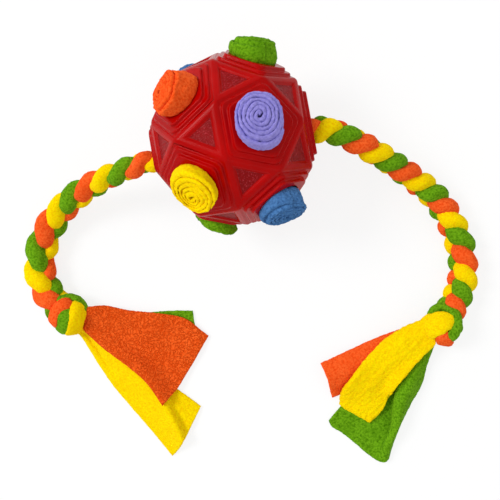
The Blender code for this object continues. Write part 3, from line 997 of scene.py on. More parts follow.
LEFT_YELLOW_ROWS = (
    ((-134.2, -104.1, 4.0), (-132.5, -103.2, 6.0), (-131.9, -102.7, 5.5), (-130.2, -101.9, 7.5),
     (-128.7, -100.9, 8.0), (-127.7, -100.2, 7.5), (-127.1, -99.5, 6.0), (-126.7, -99.2, 5.5),
     (-126.3, -98.8, 5.0)),
    ((-131.7, -106.9, 2.5), (-129.3, -106.4, 4.8), (-128.1, -106.6, 3.4), (-125.3, -105.8, 5.6),
     (-122.7, -105.0, 6.4), (-120.9, -105.1, 5.6), (-119.4, -105.6, 4.0), (-118.7, -106.7, 3.5),
     (-118.0, -107.8, 3.0)),
    ((-128.5, -115.7, 1.4), (-125.6, -114.9, 3.8), (-124.3, -114.7, 2.4), (-120.4, -113.2, 5.4),
     (-116.9, -111.4, 6.2), (-114.3, -110.7, 5.2), (-112.5, -111.0, 3.4), (-112.0, -112.9, 2.9),
     (-111.4, -114.8, 2.4)),
    ((-123.6, -128.9, 1.1), (-120.6, -127.8, 2.8), (-118.6, -127.2, 2.2), (-114.4, -125.0, 4.8),
     (-109.7, -121.6, 6.2), (-106.9, -119.8, 5.0), (-104.9, -119.5, 3.2), (-104.2, -121.2, 2.6),
     (-103.5, -122.9, 2.0)),
    ((-116.9, -144.0, 1.1), (-113.6, -142.4, 2.3), (-110.2, -140.5, 3.0), (-105.4, -137.8, 5.2),
     (-98.9, -132.9, 7.2), (-95.5, -130.8, 5.4), (-92.9, -130.4, 3.0), (-92.2, -132.6, 2.4),
     (-91.6, -134.8, 1.8)),
    ((-106.9, -161.4, 1.1), (-103.4, -159.4, 2.1), (-99.3, -157.0, 3.6), (-94.1, -154.2, 6.0),
     (-87.0, -149.3, 8.2), (-84.3, -147.4, 6.0), (-82.2, -146.5, 3.3), (-80.9, -146.8, 2.6),
     (-79.2, -147.1, 1.6)),
    ((-95.5, -180.0, 1.1), (-91.9, -177.9, 2.2), (-88.1, -175.3, 4.0), (-83.3, -172.2, 6.6),
     (-77.5, -168.3, 9.0), (-77.2, -168.0, 6.8), (-76.4, -167.4, 4.6), (-72.6, -164.2, 3.2),
     (-66.7, -159.3, 1.4)),
    ((-84.4, -199.6, 1.1), (-81.8, -197.5, 1.8), (-79.2, -195.2, 3.5), (-76.8, -192.7, 6.0),
     (-72.3, -187.2, 8.5), (-71.9, -186.6, 6.3), (-70.9, -185.3, 4.1), (-66.1, -178.5, 3.2),
     (-58.5, -167.8, 1.2)),
)
LEFT_ORANGE_ROWS = (
    ((-131.8, -98.0, 5.0), (-130.8, -96.9, 6.0), (-129.0, -95.5, 9.0), (-127.1, -93.4, 11.0),
     (-125.2, -91.1, 12.0), (-123.9, -89.0, 11.5), (-123.0, -87.8, 9.5)),
    ((-128.9, -99.2, 4.0), (-127.9, -97.9, 5.0), (-125.8, -96.4, 9.0), (-123.5, -93.8, 11.5),
     (-121.2, -91.3, 12.5), (-119.2, -89.3, 12.0), (-118.2, -88.2, 9.5)),
    ((-123.4, -107.3, 1.8), (-121.5, -106.0, 2.4), (-118.6, -103.5, 8.0), (-114.4, -99.1, 9.5),
     (-111.8, -95.0, 9.5), (-110.2, -91.3, 8.8), (-109.7, -89.0, 7.0)),
    ((-114.3, -118.6, 1.2), (-111.6, -116.4, 1.6), (-108.5, -113.1, 4.6), (-103.3, -107.6, 6.5),
     (-99.3, -102.2, 7.0), (-96.8, -97.5, 6.6), (-95.5, -94.5, 5.4)),
    ((-101.4, -131.1, 1.2), (-97.5, -128.4, 1.6), (-93.7, -125.1, 3.0), (-87.7, -118.6, 4.6),
     (-82.7, -111.7, 5.2), (-78.4, -104.0, 5.4), (-76.4, -99.7, 4.8)),
    ((-90.3, -143.9, 1.2), (-86.3, -140.4, 2.0), (-81.7, -136.6, 3.0), (-75.2, -128.4, 3.4),
     (-68.7, -119.7, 3.4), (-62.8, -110.9, 3.6), (-58.6, -106.2, 3.2)),
    ((-81.7, -160.8, 4.2), (-76.4, -156.5, 4.2), (-71.6, -152.7, 4.0), (-64.2, -144.2, 3.4),
     (-57.8, -136.9, 2.6), (-50.8, -128.2, 2.0), (-44.6, -120.8, 1.6)),
)
RIGHT_ORANGE_ROWS = (
    ((98.5, -131.4, 5.0), (98.5, -132.2, 6.0), (98.5, -132.9, 7.0), (98.9, -134.2, 7.5),
     (99.4, -135.7, 7.0), (99.9, -137.3, 6.0), (100.5, -138.9, 5.0)),
    ((92.0, -132.9, 4.0), (92.3, -133.9, 5.5), (92.9, -135.1, 6.5), (93.5, -136.7, 7.0),
     (94.3, -138.6, 6.5), (95.1, -140.6, 5.5), (95.9, -142.3, 4.5)),
    ((79.0, -135.4, 3.5), (79.8, -136.5, 6.0), (80.6, -138.3, 7.2), (81.5, -140.4, 7.5),
     (82.8, -143.1, 6.5), (84.2, -146.0, 5.0), (85.3, -148.2, 3.5)),
    ((64.3, -138.7, 3.0), (65.1, -140.2, 6.0), (66.2, -142.3, 7.6), (67.3, -145.4, 8.0),
     (68.8, -148.9, 6.8), (70.4, -152.7, 4.5), (71.7, -155.4, 2.5)),
    ((47.9, -143.5, 3.0), (48.8, -145.0, 6.5), (50.2, -147.7, 8.6), (51.5, -151.4, 9.0),
     (52.8, -156.0, 7.5), (54.2, -160.7, 4.5), (55.8, -164.0, 2.0)),
    ((35.5, -147.2, 3.2), (36.4, -149.0, 7.0), (37.5, -151.9, 9.5), (38.8, -156.2, 10.0),
     (39.6, -161.6, 8.0), (40.2, -166.7, 4.5), (41.3, -170.6, 1.3)),
    ((26.2, -149.9, 3.5), (27.1, -151.5, 7.5), (28.0, -154.3, 10.0), (29.1, -158.7, 10.5),
     (29.5, -164.0, 8.5), (29.4, -169.3, 4.5), (29.8, -174.1, 1.3)),
)
RIGHT_GREEN_ROWS = (
    ((98.3, -132.6, 5.0), (98.6, -133.8, 6.0), (98.8, -134.9, 7.0), (99.1, -136.1, 8.0),
     (99.5, -137.3, 8.5), (99.8, -138.6, 9.0), (100.3, -139.9, 9.0), (100.7, -141.4, 8.5),
     (101.4, -143.2, 7.0)),
    ((89.4, -138.2, 3.5), (90.9, -140.2, 4.5), (92.0, -142.1, 5.5), (93.1, -144.0, 6.5),
     (94.0, -145.5, 7.5), (94.9, -147.1, 8.5), (95.5, -148.4, 9.0), (96.3, -149.9, 8.5),
     (97.0, -151.8, 6.5)),
    ((77.8, -143.7, 2.0), (79.7, -145.9, 2.5), (81.5, -148.1, 3.0), (83.1, -150.2, 3.5),
     (84.6, -151.9, 4.0), (85.9, -153.5, 5.0), (86.9, -154.5, 8.0), (88.9, -156.1, 9.5),
     (93.5, -159.6, 5.0)),
    ((63.0, -156.1, 1.3), (65.8, -158.9, 1.4), (68.6, -161.6, 1.4), (71.4, -164.4, 1.4),
     (73.6, -166.7, 1.6), (75.3, -168.1, 2.0), (75.1, -166.7, 10.2), (79.5, -168.0, 12.2),
     (87.8, -173.2, 3.5)),
    ((50.1, -167.2, 1.1), (54.1, -170.8, 1.1), (58.8, -174.5, 1.1), (64.1, -178.3, 1.1),
     (68.2, -180.9, 1.2), (70.5, -182.1, 1.4), (69.5, -180.3, 9.7), (72.7, -181.1, 11.8),
     (78.9, -185.1, 3.0)),
    ((39.3, -176.5, 1.1), (43.9, -181.3, 1.1), (49.6, -186.5, 1.1), (56.0, -191.8, 1.1),
     (62.7, -197.1, 1.2), (65.1, -198.7, 1.4), (64.7, -196.9, 9.2), (66.4, -197.2, 11.0),
     (69.3, -199.7, 2.0)),
    ((31.6, -183.3, 1.1), (36.0, -189.1, 1.1), (42.1, -196.1, 1.1), (48.9, -203.5, 1.1),
     (55.3, -208.7, 1.4), (57.9, -209.6, 3.0), (59.1, -208.7, 6.0), (60.6, -209.3, 6.8),
     (62.8, -212.0, 1.5)),
    ((24.9, -189.3, 1.1), (26.0, -192.9, 1.1), (31.8, -198.3, 1.1), (39.8, -207.0, 1.1),
     (47.3, -215.7, 1.3), (51.5, -219.5, 2.0), (54.2, -220.4, 4.0), (56.7, -221.0, 4.0),
     (59.6, -219.5, 1.3)),
)
# The right yellow sheet is folded double. Each of its rows goes back over itself, and all
# of them rise over their own level in the same way.
RIGHT_YELLOW_RISES = (0.0, 0.4, 0.4, 0.1, 1.1, 2.1, 3.1, 3.1, 2.2)
RIGHT_YELLOW_LEVELS = (14.0, 12.5, 11.0, 9.5, 8.3, 6.6, 4.8, 4.0, 3.0)
RIGHT_YELLOW_PLACES = (
    ((105.4, -137.1), (104.4, -133.8), (103.4, -130.1), (102.7, -127.3), (102.4, -126.6),
     (102.4, -126.9), (103.1, -129.9), (104.1, -133.3), (105.1, -136.5)),
    ((101.9, -139.4), (100.4, -135.5), (98.7, -131.2), (97.4, -127.8), (97.0, -127.0),
     (97.1, -127.4), (98.5, -130.9), (100.1, -135.1), (101.6, -138.9)),
    ((101.1, -141.6), (98.3, -137.9), (95.3, -133.9), (92.8, -130.8), (92.3, -130.0),
     (92.6, -130.3), (95.2, -133.6), (98.2, -137.5), (100.8, -141.0)),
    ((99.6, -145.9), (94.9, -141.7), (89.6, -137.0), (85.4, -133.3), (84.6, -132.4),
     (85.2, -132.9), (89.8, -136.8), (94.8, -141.3), (99.3, -145.3)),
    ((91.7, -152.1), (86.0, -147.3), (79.5, -142.0), (74.3, -137.9), (73.3, -136.9),
     (74.1, -137.4), (79.8, -141.8), (86.0, -146.9), (91.5, -151.5)),
    ((80.5, -161.1), (74.1, -156.5), (66.9, -151.4), (60.6, -147.1), (59.5, -146.1),
     (60.6, -146.6), (67.4, -151.2), (74.4, -156.0), (80.3, -160.4)),
    ((68.8, -172.8), (62.5, -168.4), (55.2, -163.5), (48.2, -158.9), (47.0, -157.8),
     (48.2, -158.3), (55.9, -163.2), (62.8, -167.9), (68.6, -172.1)),
    ((61.3, -185.5), (53.9, -180.5), (45.5, -175.1), (38.4, -170.5), (37.2, -169.4),
     (38.5, -169.9), (46.2, -174.7), (54.3, -179.9), (61.2, -184.7)),
    ((51.6, -193.8), (46.2, -189.4), (40.0, -184.5), (34.9, -180.1), (34.6, -178.4),
     (35.5, -178.9), (41.1, -183.5), (47.0, -188.1), (52.1, -192.3)),
)
RIGHT_YELLOW_ROWS = tuple(
    tuple((*place, level + rise) for place, rise in zip(row, RIGHT_YELLOW_RISES))
    for row, level in zip(RIGHT_YELLOW_PLACES, RIGHT_YELLOW_LEVELS))


@dataclass(frozen=True)
class TailShape:
    """One fleece tail: its colour, its rows and its nap.

    finish names its fleece where that isn't plain, and fold is how many stretches of a row lie
    under the rest where the sheet is folded double.
    """

    name: str
    colour: str
    rows: tuple
    nap: Nap = Nap.SMOOTH
    finish: str = ""
    fold: int = 0
    grain: float = 0.75 * MM


LEFT_TAILS = (
    TailShape("tail_left_green", "green", LEFT_GREEN_ROWS),
    TailShape("tail_left_yellow", "yellow", LEFT_YELLOW_ROWS),
    TailShape("tail_left_orange", "orange", LEFT_ORANGE_ROWS, Nap.PEBBLED, "orange_pebbled", grain=0.6 * MM),
)
RIGHT_TAILS = (
    TailShape("tail_right_orange", "orange", RIGHT_ORANGE_ROWS),
    TailShape("tail_right_green", "green", RIGHT_GREEN_ROWS),
    TailShape("tail_right_yellow", "yellow", RIGHT_YELLOW_ROWS, Nap.FURRY, fold=4),
)


def spline(knots: np.ndarray, places: np.ndarray, wanted: np.ndarray) -> np.ndarray:
    """A smooth curve through knots that stand unevenly.

    Args:
        knots: What the curve passes, along the first axis.
        places: How far along each knot stands.
        wanted: How far along the answers are asked for.

    Returns:
        The curve there.
    """
    shape = (-1,) + (1,) * (knots.ndim - 1)
    gaps = np.diff(places)
    wide = gaps.reshape(shape)
    slopes = np.diff(knots, axis=0) / wide
    inner = (slopes[:-1] * wide[1:] + slopes[1:] * wide[:-1]) / (wide[1:] + wide[:-1])
    tangents = np.concatenate([slopes[:1], inner, slopes[-1:]])
    index = np.clip(np.searchsorted(places, wanted, side="right") - 1, 0, len(gaps) - 1)
    share = ((wanted - places[index]) / gaps[index]).reshape(shape)
    gap = gaps[index].reshape(shape)
    square, cube = share ** 2, share ** 3
    return (knots[index] * (2 * cube - 3 * square + 1) + tangents[index] * gap * (cube - 2 * square + share)
            + knots[index + 1] * (3 * square - 2 * cube) + tangents[index + 1] * gap * (cube - square))


class Pile:
    """Remembers, on a grid seen from above, how high the tails already laid reach."""

    cell = 0.8 * MM
    cells = 320
    margin = 2

    def __init__(self, middle: Vector) -> None:
        """Start with a bare table.

        Args:
            middle: The knot that the tails hang on.
        """
        self.corner = np.array([middle.x, middle.y]) - self.cell * self.cells / 2
        self.top = np.zeros((self.cells, self.cells))

    def spots(self, points: np.ndarray) -> tuple[np.ndarray, np.ndarray]:
        """Find where points are on the grid.

        Args:
            points: The places.

        Returns:
            Their rows and columns.
        """
        near = ((points[..., :2] - self.corner) / self.cell).astype(int)
        near = np.clip(near, 0, self.cells - 1)
        return near[..., 0], near[..., 1]

    def add(self, points: np.ndarray) -> None:
        """Put a tail's upper side on the pile."""
        np.maximum.at(self.top, self.spots(points), points[..., 2])

    def height(self, points: np.ndarray) -> np.ndarray:
        """Look up how high the pile reaches, with a little room round it.

        Args:
            points: The places to look at.

        Returns:
            One height per place.
        """
        wide = self.top.copy()
        for _ in range(self.margin):
            for axis in (0, 1):
                wide = np.maximum(wide, np.maximum(np.roll(wide, 1, axis), np.roll(wide, -1, axis)))
        return wide[self.spots(points)]


@dataclass
class Tail:
    """A tail laid on the table and on the tails under it."""

    wardrobe: Wardrobe
    shape: TailShape
    pile: Pile
    knot: Vector
    gap: float = 0.3 * MM
    relax: int = 60
    ease: tuple = (0.0, 0.06, 0.2, 0.45, 1.0)
    round_share: float = 0.45
    bare: float = 0.1 * MM
    rise_rate: float = 8.0
    lowest: float = 0.2 * MM
    merge: float = 0.02 * MM
    knot_share: float = 0.8

    def places(self, marks: np.ndarray, counts: list[int], both: bool) -> np.ndarray:
        """Places between marks, crowded where an edge is rounded off.

        Args:
            marks: How far along each control point stands.
            counts: How many steps each stretch gets.
            both: Whether the first end is rounded as well as the last one.

        Returns:
            The places, always as many for the same counts.
        """
        inset = FLEECE / 2
        found = []
        last = len(counts) - 1
        for index, count in enumerate(counts):
            start, end = marks[index], marks[index + 1]
            room = (end - start) * self.round_share
            first_in = min(inset, room) if both and index == 0 else 0.0
            last_in = min(inset, room) if index == last else 0.0
            if first_in:
                found += [start + first_in * share for share in self.ease[:-1]]
            found += list(np.linspace(start + first_in, end - last_in, count, endpoint=False))
            if last_in:
                found += [end - last_in * share for share in reversed(self.ease)]
        return np.array(found)

    def lay(self) -> np.ndarray:
        """Work out the sheet's middle, lifted where other tails lie under it.

        Returns:
            Rows and columns of places.
        """
        rows = np.array(self.shape.rows) * MM
        chords = np.linalg.norm(np.diff(rows, axis=1), axis=2)
        counts = [max(1, int(span / self.shape.grain)) for span in chords.max(axis=0)]
        across = []
        for row, chord in zip(rows, chords):
            marks = np.concatenate([[0.0], np.cumsum(chord)])
            across.append(spline(row, marks, self.places(marks, counts, True)))
        across = np.array(across)
        spans = np.linalg.norm(np.diff(rows.mean(axis=1), axis=0), axis=1)
        longest = np.linalg.norm(np.diff(across, axis=0), axis=2).max(axis=1)
        marks = np.concatenate([[0.0], np.cumsum(spans)])
        steps = [max(1, int(span / self.shape.grain)) for span in longest]
        middle = spline(across, marks, self.places(marks, steps, False))
        under = middle.shape[1]
        if self.shape.fold:
            under = len(self.ease) - 1 + sum(counts[:self.shape.fold])
        room = FLEECE / 2 + self.gap + (FLEECE + self.gap) * (np.arange(middle.shape[1]) > under)
        below = self.pile.height(middle)
        needed = np.maximum(0.0, below + room - middle[..., 2])
        needed[below < self.bare] = 0.0
        needed *= smooth(np.linspace(0, self.rise_rate, len(middle)))[:, None]
        lift = needed.copy()
        for _ in range(self.relax):
            padded = np.pad(lift, 1, "edge")
            soft = (padded[:-2, 1:-1] + padded[2:, 1:-1] + padded[1:-1, :-2] + padded[1:-1, 2:]) / 4
            lift = np.maximum(needed, soft)
        middle[..., 2] += lift
        return middle

    def build(self) -> Object:
        """Make the sheet, closed and with rounded edges.

        Returns:
            The tail.
        """
        middle = self.lay()
        count_rows, columns = middle.shape[:2]
        normals = unit(np.cross(np.gradient(middle, axis=1), np.gradient(middle, axis=0)))
        normals *= np.sign(normals[..., 2].mean()) if not self.shape.fold else 1.0
        round_off = np.sqrt(1 - (1 - np.array(self.ease)) ** 2)
        eased = len(self.ease)
        side = np.ones(columns)
        side[:eased], side[-eased:] = round_off, round_off[::-1]
        end = np.ones(count_rows)
        end[-eased:] = round_off[::-1]
        thick = FLEECE / 2 * np.minimum(side[None, :], end[:, None])[..., None]
        upper, lower = middle + normals * thick, middle - normals * thick
        for skin in (upper, lower):
            skin[..., 2] = np.maximum(skin[..., 2], self.lowest)
            self.pile.add(skin)
        base = count_rows * columns
        starts = [row * columns + column for row in range(count_rows - 1) for column in range(columns - 1)]
        grid = [(start, start + 1, start + 1 + columns, start + columns) for start in starts]
        rim = [row * columns for row in range(count_rows)]
        rim += [(count_rows - 1) * columns + column for column in range(1, columns)]
        rim += [row * columns + columns - 1 for row in reversed(range(count_rows - 1))]
        rim += list(reversed(range(1, columns - 1)))
        faces = grid + [tuple(corner + base for corner in face) for face in grid]
        faces += [(here, after, after + base, here + base) for here, after in zip(rim, rim[1:] + rim[:1])]
        places = np.concatenate([upper.reshape(-1, 3), lower.reshape(-1, 3)])
        finish = self.wardrobe.fleece[self.shape.finish or self.shape.colour]
        piece = add_piece(f"{self.shape.name}_strip", places, faces, finish)
        face_outward(piece.data, self.merge)
        way = middle[-1].mean(axis=0) - middle[0].mean(axis=0)
        raise_nap(piece, self.shape.nap, 80 + len(self.shape.name), along=(way[0], way[1], 0.0))
        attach(piece, "rope")
        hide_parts(self.shape.name)
        self.declare(piece, middle)
        return piece

    def declare(self, piece: Object, middle: np.ndarray) -> None:
        """Args:
            piece: The tail; not used.
            middle: The sheet's middle; not used.
        """


# Ball


def next_to(first: str, second: str) -> bool:
    """Whether two holes are neighbours."""
    return abs(HOLES[first].dot(HOLES[second]) - NEAR) < 1e-6


@dataclass
class RubberBall:
    """The moulded ball: twelve stepped pentagon plates with holes, twenty sunk triangles."""

    wardrobe: Wardrobe
    corner_points: int = 14
    corner_radius: float = 4.4 * MM
    lower_margin: float = 2.2 * MM
    lower_step: float = 1.7 * MM
    upper_margin: float = 2.6 * MM
    draft: float = 0.25 * MM
    band: float = 2.9 * MM
    recess: float = 1.2 * MM
    recess_draft: float = 1.2 * MM
    wall: float = 4.0 * MM
    ridge_round: float = 1.65 * MM
    edge_share: float = 0.5
    mouth_share: float = 0.15
    sharp: float = 20.0
    bevel_steps: int = 4

    @staticmethod
    def neighbours(name: str) -> list[str]:
        """Find the holes next to a hole.

        Args:
            name: The hole's name.

        Returns:
            The names of the five, in order round its axis.
        """
        frame = face_frame(HOLES[name]).transposed()
        near = [other for other in HOLES if next_to(name, other)]
        return sorted(near, key=lambda other: atan2(*(frame @ HOLES[other]).yx))

    def ring(self, form: BMesh, axis: Vector, corners: list, inradius: float | None,
             height: float) -> list:
        """Add a pentagon with rounded corners, or a circle where the inradius is None.

        Args:
            form: The mesh to add to.
            axis: The hole's axis.
            corners: The plate's five corners, in order.
            inradius: How far its sides are from the axis.
            height: How far it is from the ball's middle.

        Returns:
            The ring's points, in order.
        """
        ring = []
        for corner in corners:
            way = (corner - axis * corner.dot(axis)).normalized()
            for index in range(self.corner_points):
                if inradius is None:
                    angle = FIFTH * ((index + 0.5) / self.corner_points - 0.5)
                    place = Matrix.Rotation(angle, 3, axis) @ way * HOLE_RADIUS
                else:
                    angle = FIFTH * (index / (self.corner_points - 1) - 0.5)
                    reach = (inradius - self.corner_radius) / cos(FIFTH / 2)
                    place = way * reach + Matrix.Rotation(angle, 3, axis) @ way * self.corner_radius
                ring.append(form.verts.new(axis * height + place))
        return ring

    @staticmethod
    def bridge(form: BMesh, first: list, second: list) -> None:
        """Add quads between two rings.

        Args:
            form: The mesh to add to.
            first: The one ring's points.
            second: As many points of the other ring.
        """
        for index in range(len(first)):
            after = (index + 1) % len(first)
            form.faces.new((first[index], first[after], second[after], second[index]))

    def bridge_corners(self, form: BMesh, corners: list, ring: list) -> None:
        """Add faces between five sharp corners and a ring.

        Args:
            form: The mesh to add to.
            corners: The five corners, in order.
            ring: The ring's points, the same number of them at each corner.
        """
        count = self.corner_points
        for index, corner in enumerate(corners):
            start = index * count
            for step in range(count - 1):
                form.faces.new((corner, ring[start + step], ring[start + step + 1]))
            after = (index + 1) % len(corners)
            form.faces.new((corner, ring[start + count - 1], ring[after * count], corners[after]))

    @staticmethod
    def sunk(form: BMesh, corners: list, axis: Vector, inset: float, height: float) -> list:
        """Add a smaller triangle inside another.

        Args:
            form: The mesh to add to.
            corners: The outer triangle's points.
            axis: The way the triangle faces.
            inset: How far its sides are moved in.
            height: How far it is from the ball's middle.

        Returns:
            The inner triangle's points.
        """
        ring = []
        for corner in corners:
            spoke = corner.co - axis * corner.co.dot(axis)
            ring.append(form.verts.new(axis * height + spoke * (1 - 2 * inset / spoke.length)))
        return ring

    def build(self) -> Object:
        """Make the ball.

        Returns:
            The ball, its edges rounded by a bevel.
        """
        form = bmesh.new()
        outer, inner, mouths = {}, {}, set()
        for name in HOLES:
            for other in self.neighbours(name):
                pair = frozenset((name, other))
                if pair not in outer:
                    place = (HOLES[name] + HOLES[other]).normalized() * VERTEX_RADIUS
                    outer[pair] = form.verts.new(place)
                    inner[pair] = form.verts.new(place * INNER_SHARE)
        lower = BASE_INRADIUS - self.lower_margin
        upper = lower - self.draft - self.upper_margin
        step = BASE_PLANE + self.lower_step
        for name, axis in HOLES.items():
            pairs = [frozenset((name, other)) for other in self.neighbours(name)]
            places = [outer[pair].co.copy() for pair in pairs]
            levels = (
                (lower, BASE_PLANE), (lower - self.draft, step), (upper, step), (upper - self.draft, LAND),
                (None, LAND), (None, BASE_PLANE - self.wall))
            rings = [self.ring(form, axis, places, inradius, height) for inradius, height in levels]
            self.bridge_corners(form, [outer[pair] for pair in pairs], rings[0])
            mouths.update(rings[4])
            for first, second in zip(rings, rings[1:]):
                self.bridge(form, first, second)
            self.bridge_corners(form, [inner[pair] for pair in pairs], rings[-1])
        for trio in itertools.combinations(HOLES, 3):
            pairs = [frozenset(pair) for pair in zip(trio, (*trio[1:], trio[0]))]
            if not all(next_to(*pair) for pair in pairs):
                continue
            corners = [outer[pair] for pair in pairs]
            axis = (HOLES[trio[0]] + HOLES[trio[1]] + HOLES[trio[2]]).normalized()
            height = corners[0].co.dot(axis)
            rim = self.sunk(form, corners, axis, self.band, height)
            floor = self.sunk(form, corners, axis, self.band + self.recess_draft, height - self.recess)
            self.bridge(form, corners, rim)
            self.bridge(form, rim, floor)
            form.faces.new(floor).material_index = 1
            form.faces.new([inner[pair] for pair in pairs])
        bmesh.ops.recalc_face_normals(form, faces=form.faces[:])
        weights = form.edges.layers.float.new("bevel_weight_edge")
        main = set(outer.values())
        for edge in form.edges:
            if edge.calc_face_angle(0.0) > radians(self.sharp):
                ridge = edge.verts[0] in main and edge.verts[1] in main
                mouth = edge.verts[0] in mouths and edge.verts[1] in mouths
                edge[weights] = 1.0 if ridge else self.mouth_share if mouth else self.edge_share
        for vert in form.verts:
            vert.co = settle(np.array([vert.co]))[0]
        bmesh.ops.translate(form, verts=form.verts[:], vec=(0.0, 0.0, BALL_HEIGHT))
        mesh = bpy.data.meshes.new("ball_rubber_shell")
        form.to_mesh(mesh)
        form.free()
        mesh.materials.append(self.wardrobe.rubber)
        mesh.materials.append(self.wardrobe.grained)
        mesh.polygons.foreach_set("use_smooth", [True] * len(mesh.polygons))
        piece = link_object("ball_rubber_shell", mesh)
        bevel = piece.modifiers.new("edge_round", "BEVEL")
        bevel.width = self.ridge_round
        bevel.segments = self.bevel_steps
        bevel.limit_method = "WEIGHT"
        bevel.harden_normals = True
        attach(piece, "ball")
        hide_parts("ball_shell")
        LOG.info("%s: %d points before its edges are rounded", piece.name, len(mesh.vertices))
        return piece


# How far the rubber bulges at its waist, in millimetres: all round, and with the cosine and
# sine of the angle about the vertical and the cosine of twice that angle
BULGE, BULGE_COS, BULGE_SIN, BULGE_TWICE = 0.95, 0.78, -0.72, -0.57


def settle(points: np.ndarray) -> np.ndarray:
    """Press soft rubber out at its waist, where the rolls in its holes push it.

    Args:
        points: Places from the ball's middle.

    Returns:
        The places moved, by up to about 2 mm.
    """
    reach = np.linalg.norm(points, axis=1)
    flat = np.linalg.norm(points[:, :2], axis=1)
    flat_way = points[:, :2] / np.maximum(flat, 1e-9)[:, None]
    angle = np.arctan2(points[:, 1], points[:, 0])
    push = BULGE + BULGE_COS * np.cos(angle) + BULGE_SIN * np.sin(angle) + BULGE_TWICE * np.cos(2 * angle)
    push *= MM * smooth((flat / np.maximum(reach, 1e-9) - 0.5) / 0.45) * np.minimum(reach / LAND, 1.2)
    moved = points.copy()
    moved[:, :2] += flat_way * push[:, None]
    return moved


def face_frame(axis: Vector) -> Matrix:
    """Work out the frame of a hole.

    Args:
        axis: The hole's axis.

    Returns:
        A rotation whose Z is the axis and whose X leans up.
    """
    up = Vector((0.0, 0.0, 1.0))
    across = (up - axis * up.dot(axis)).normalized()
    return Matrix((across, axis.cross(across), axis)).transposed()


# Rolls


@dataclass(frozen=True)
class RollShape:
    """How one roll's head looks, in the frame of its hole: X leans up, Z is the hole's axis.

    head is its height over the ball's plate, end_turn where its strip ends as a share of a
    turn, width how much wider than the hole's roll it swells, rim how wide it is at its end,
    dish how far its middle lies under its rim, tilt how far its end is slanted and tilt_way
    the direction of the high side in degrees. lean moves the whole head sideways, and
    crowd moves the inner turns to one side. pitch is how far apart the turns stand, and
    corners how six-sided the head is pressed.
    """

    head: float
    end_turn: float
    width: float = 1.18
    rim: float = 1.14
    dish: float = 0.0
    tilt: float = 0.0
    tilt_way: float = 0.0
    lean: tuple = (0.0, 0.0)
    crowd: tuple = (0.0, 0.0)
    pitch: float = 2.05 * MM
    corners: float = 0.0


ROLLS = {
    "purple_top": RollShape(10.0 * MM, 0.42, 1.27, 1.23, dish=-0.8 * MM, lean=(3.4 * MM, -3.4 * MM),
                            pitch=1.72 * MM),
    "green_back": RollShape(9.6 * MM, 0.11, 1.33, 1.1, dish=-1.4 * MM, tilt=2.4 * MM, tilt_way=90,
                            lean=(0.0, -1.9 * MM)),
    "yellow_under": RollShape(4.0 * MM, 0.555),
    "orange_under": RollShape(4.0 * MM, 0.555),
    "blue_front": RollShape(9.4 * MM, 0.11, 1.26, 1.1, dish=-1.0 * MM, tilt=3.8 * MM, tilt_way=-105,
                            lean=(0.0, 1.2 * MM), pitch=1.8 * MM),
    "orange_top": RollShape(10.4 * MM, 0.28, 1.29, 1.12, dish=-1.0 * MM, tilt=4.6 * MM, tilt_way=58,
                            lean=(1.5 * MM, -3.0 * MM), crowd=(-2.5 * MM, -1.0 * MM), corners=0.03,
                            pitch=1.9 * MM),
    "blue_back": RollShape(6.0 * MM, 0.83, 1.16, 1.08, lean=(0.0, -1.8 * MM)),
    "purple_under": RollShape(4.0 * MM, 0.5),
    "green_front": RollShape(8.0 * MM, 0.83, 1.2, 1.14, lean=(0.0, -6.4 * MM)),
    "yellow_top": RollShape(10.0 * MM, 0.28, 1.3, 1.16, dish=3.0 * MM, tilt=1.5 * MM, tilt_way=20,
                            lean=(4.0 * MM, -3.2 * MM), crowd=(-5.6 * MM, -0.9 * MM), pitch=1.95 * MM),
}


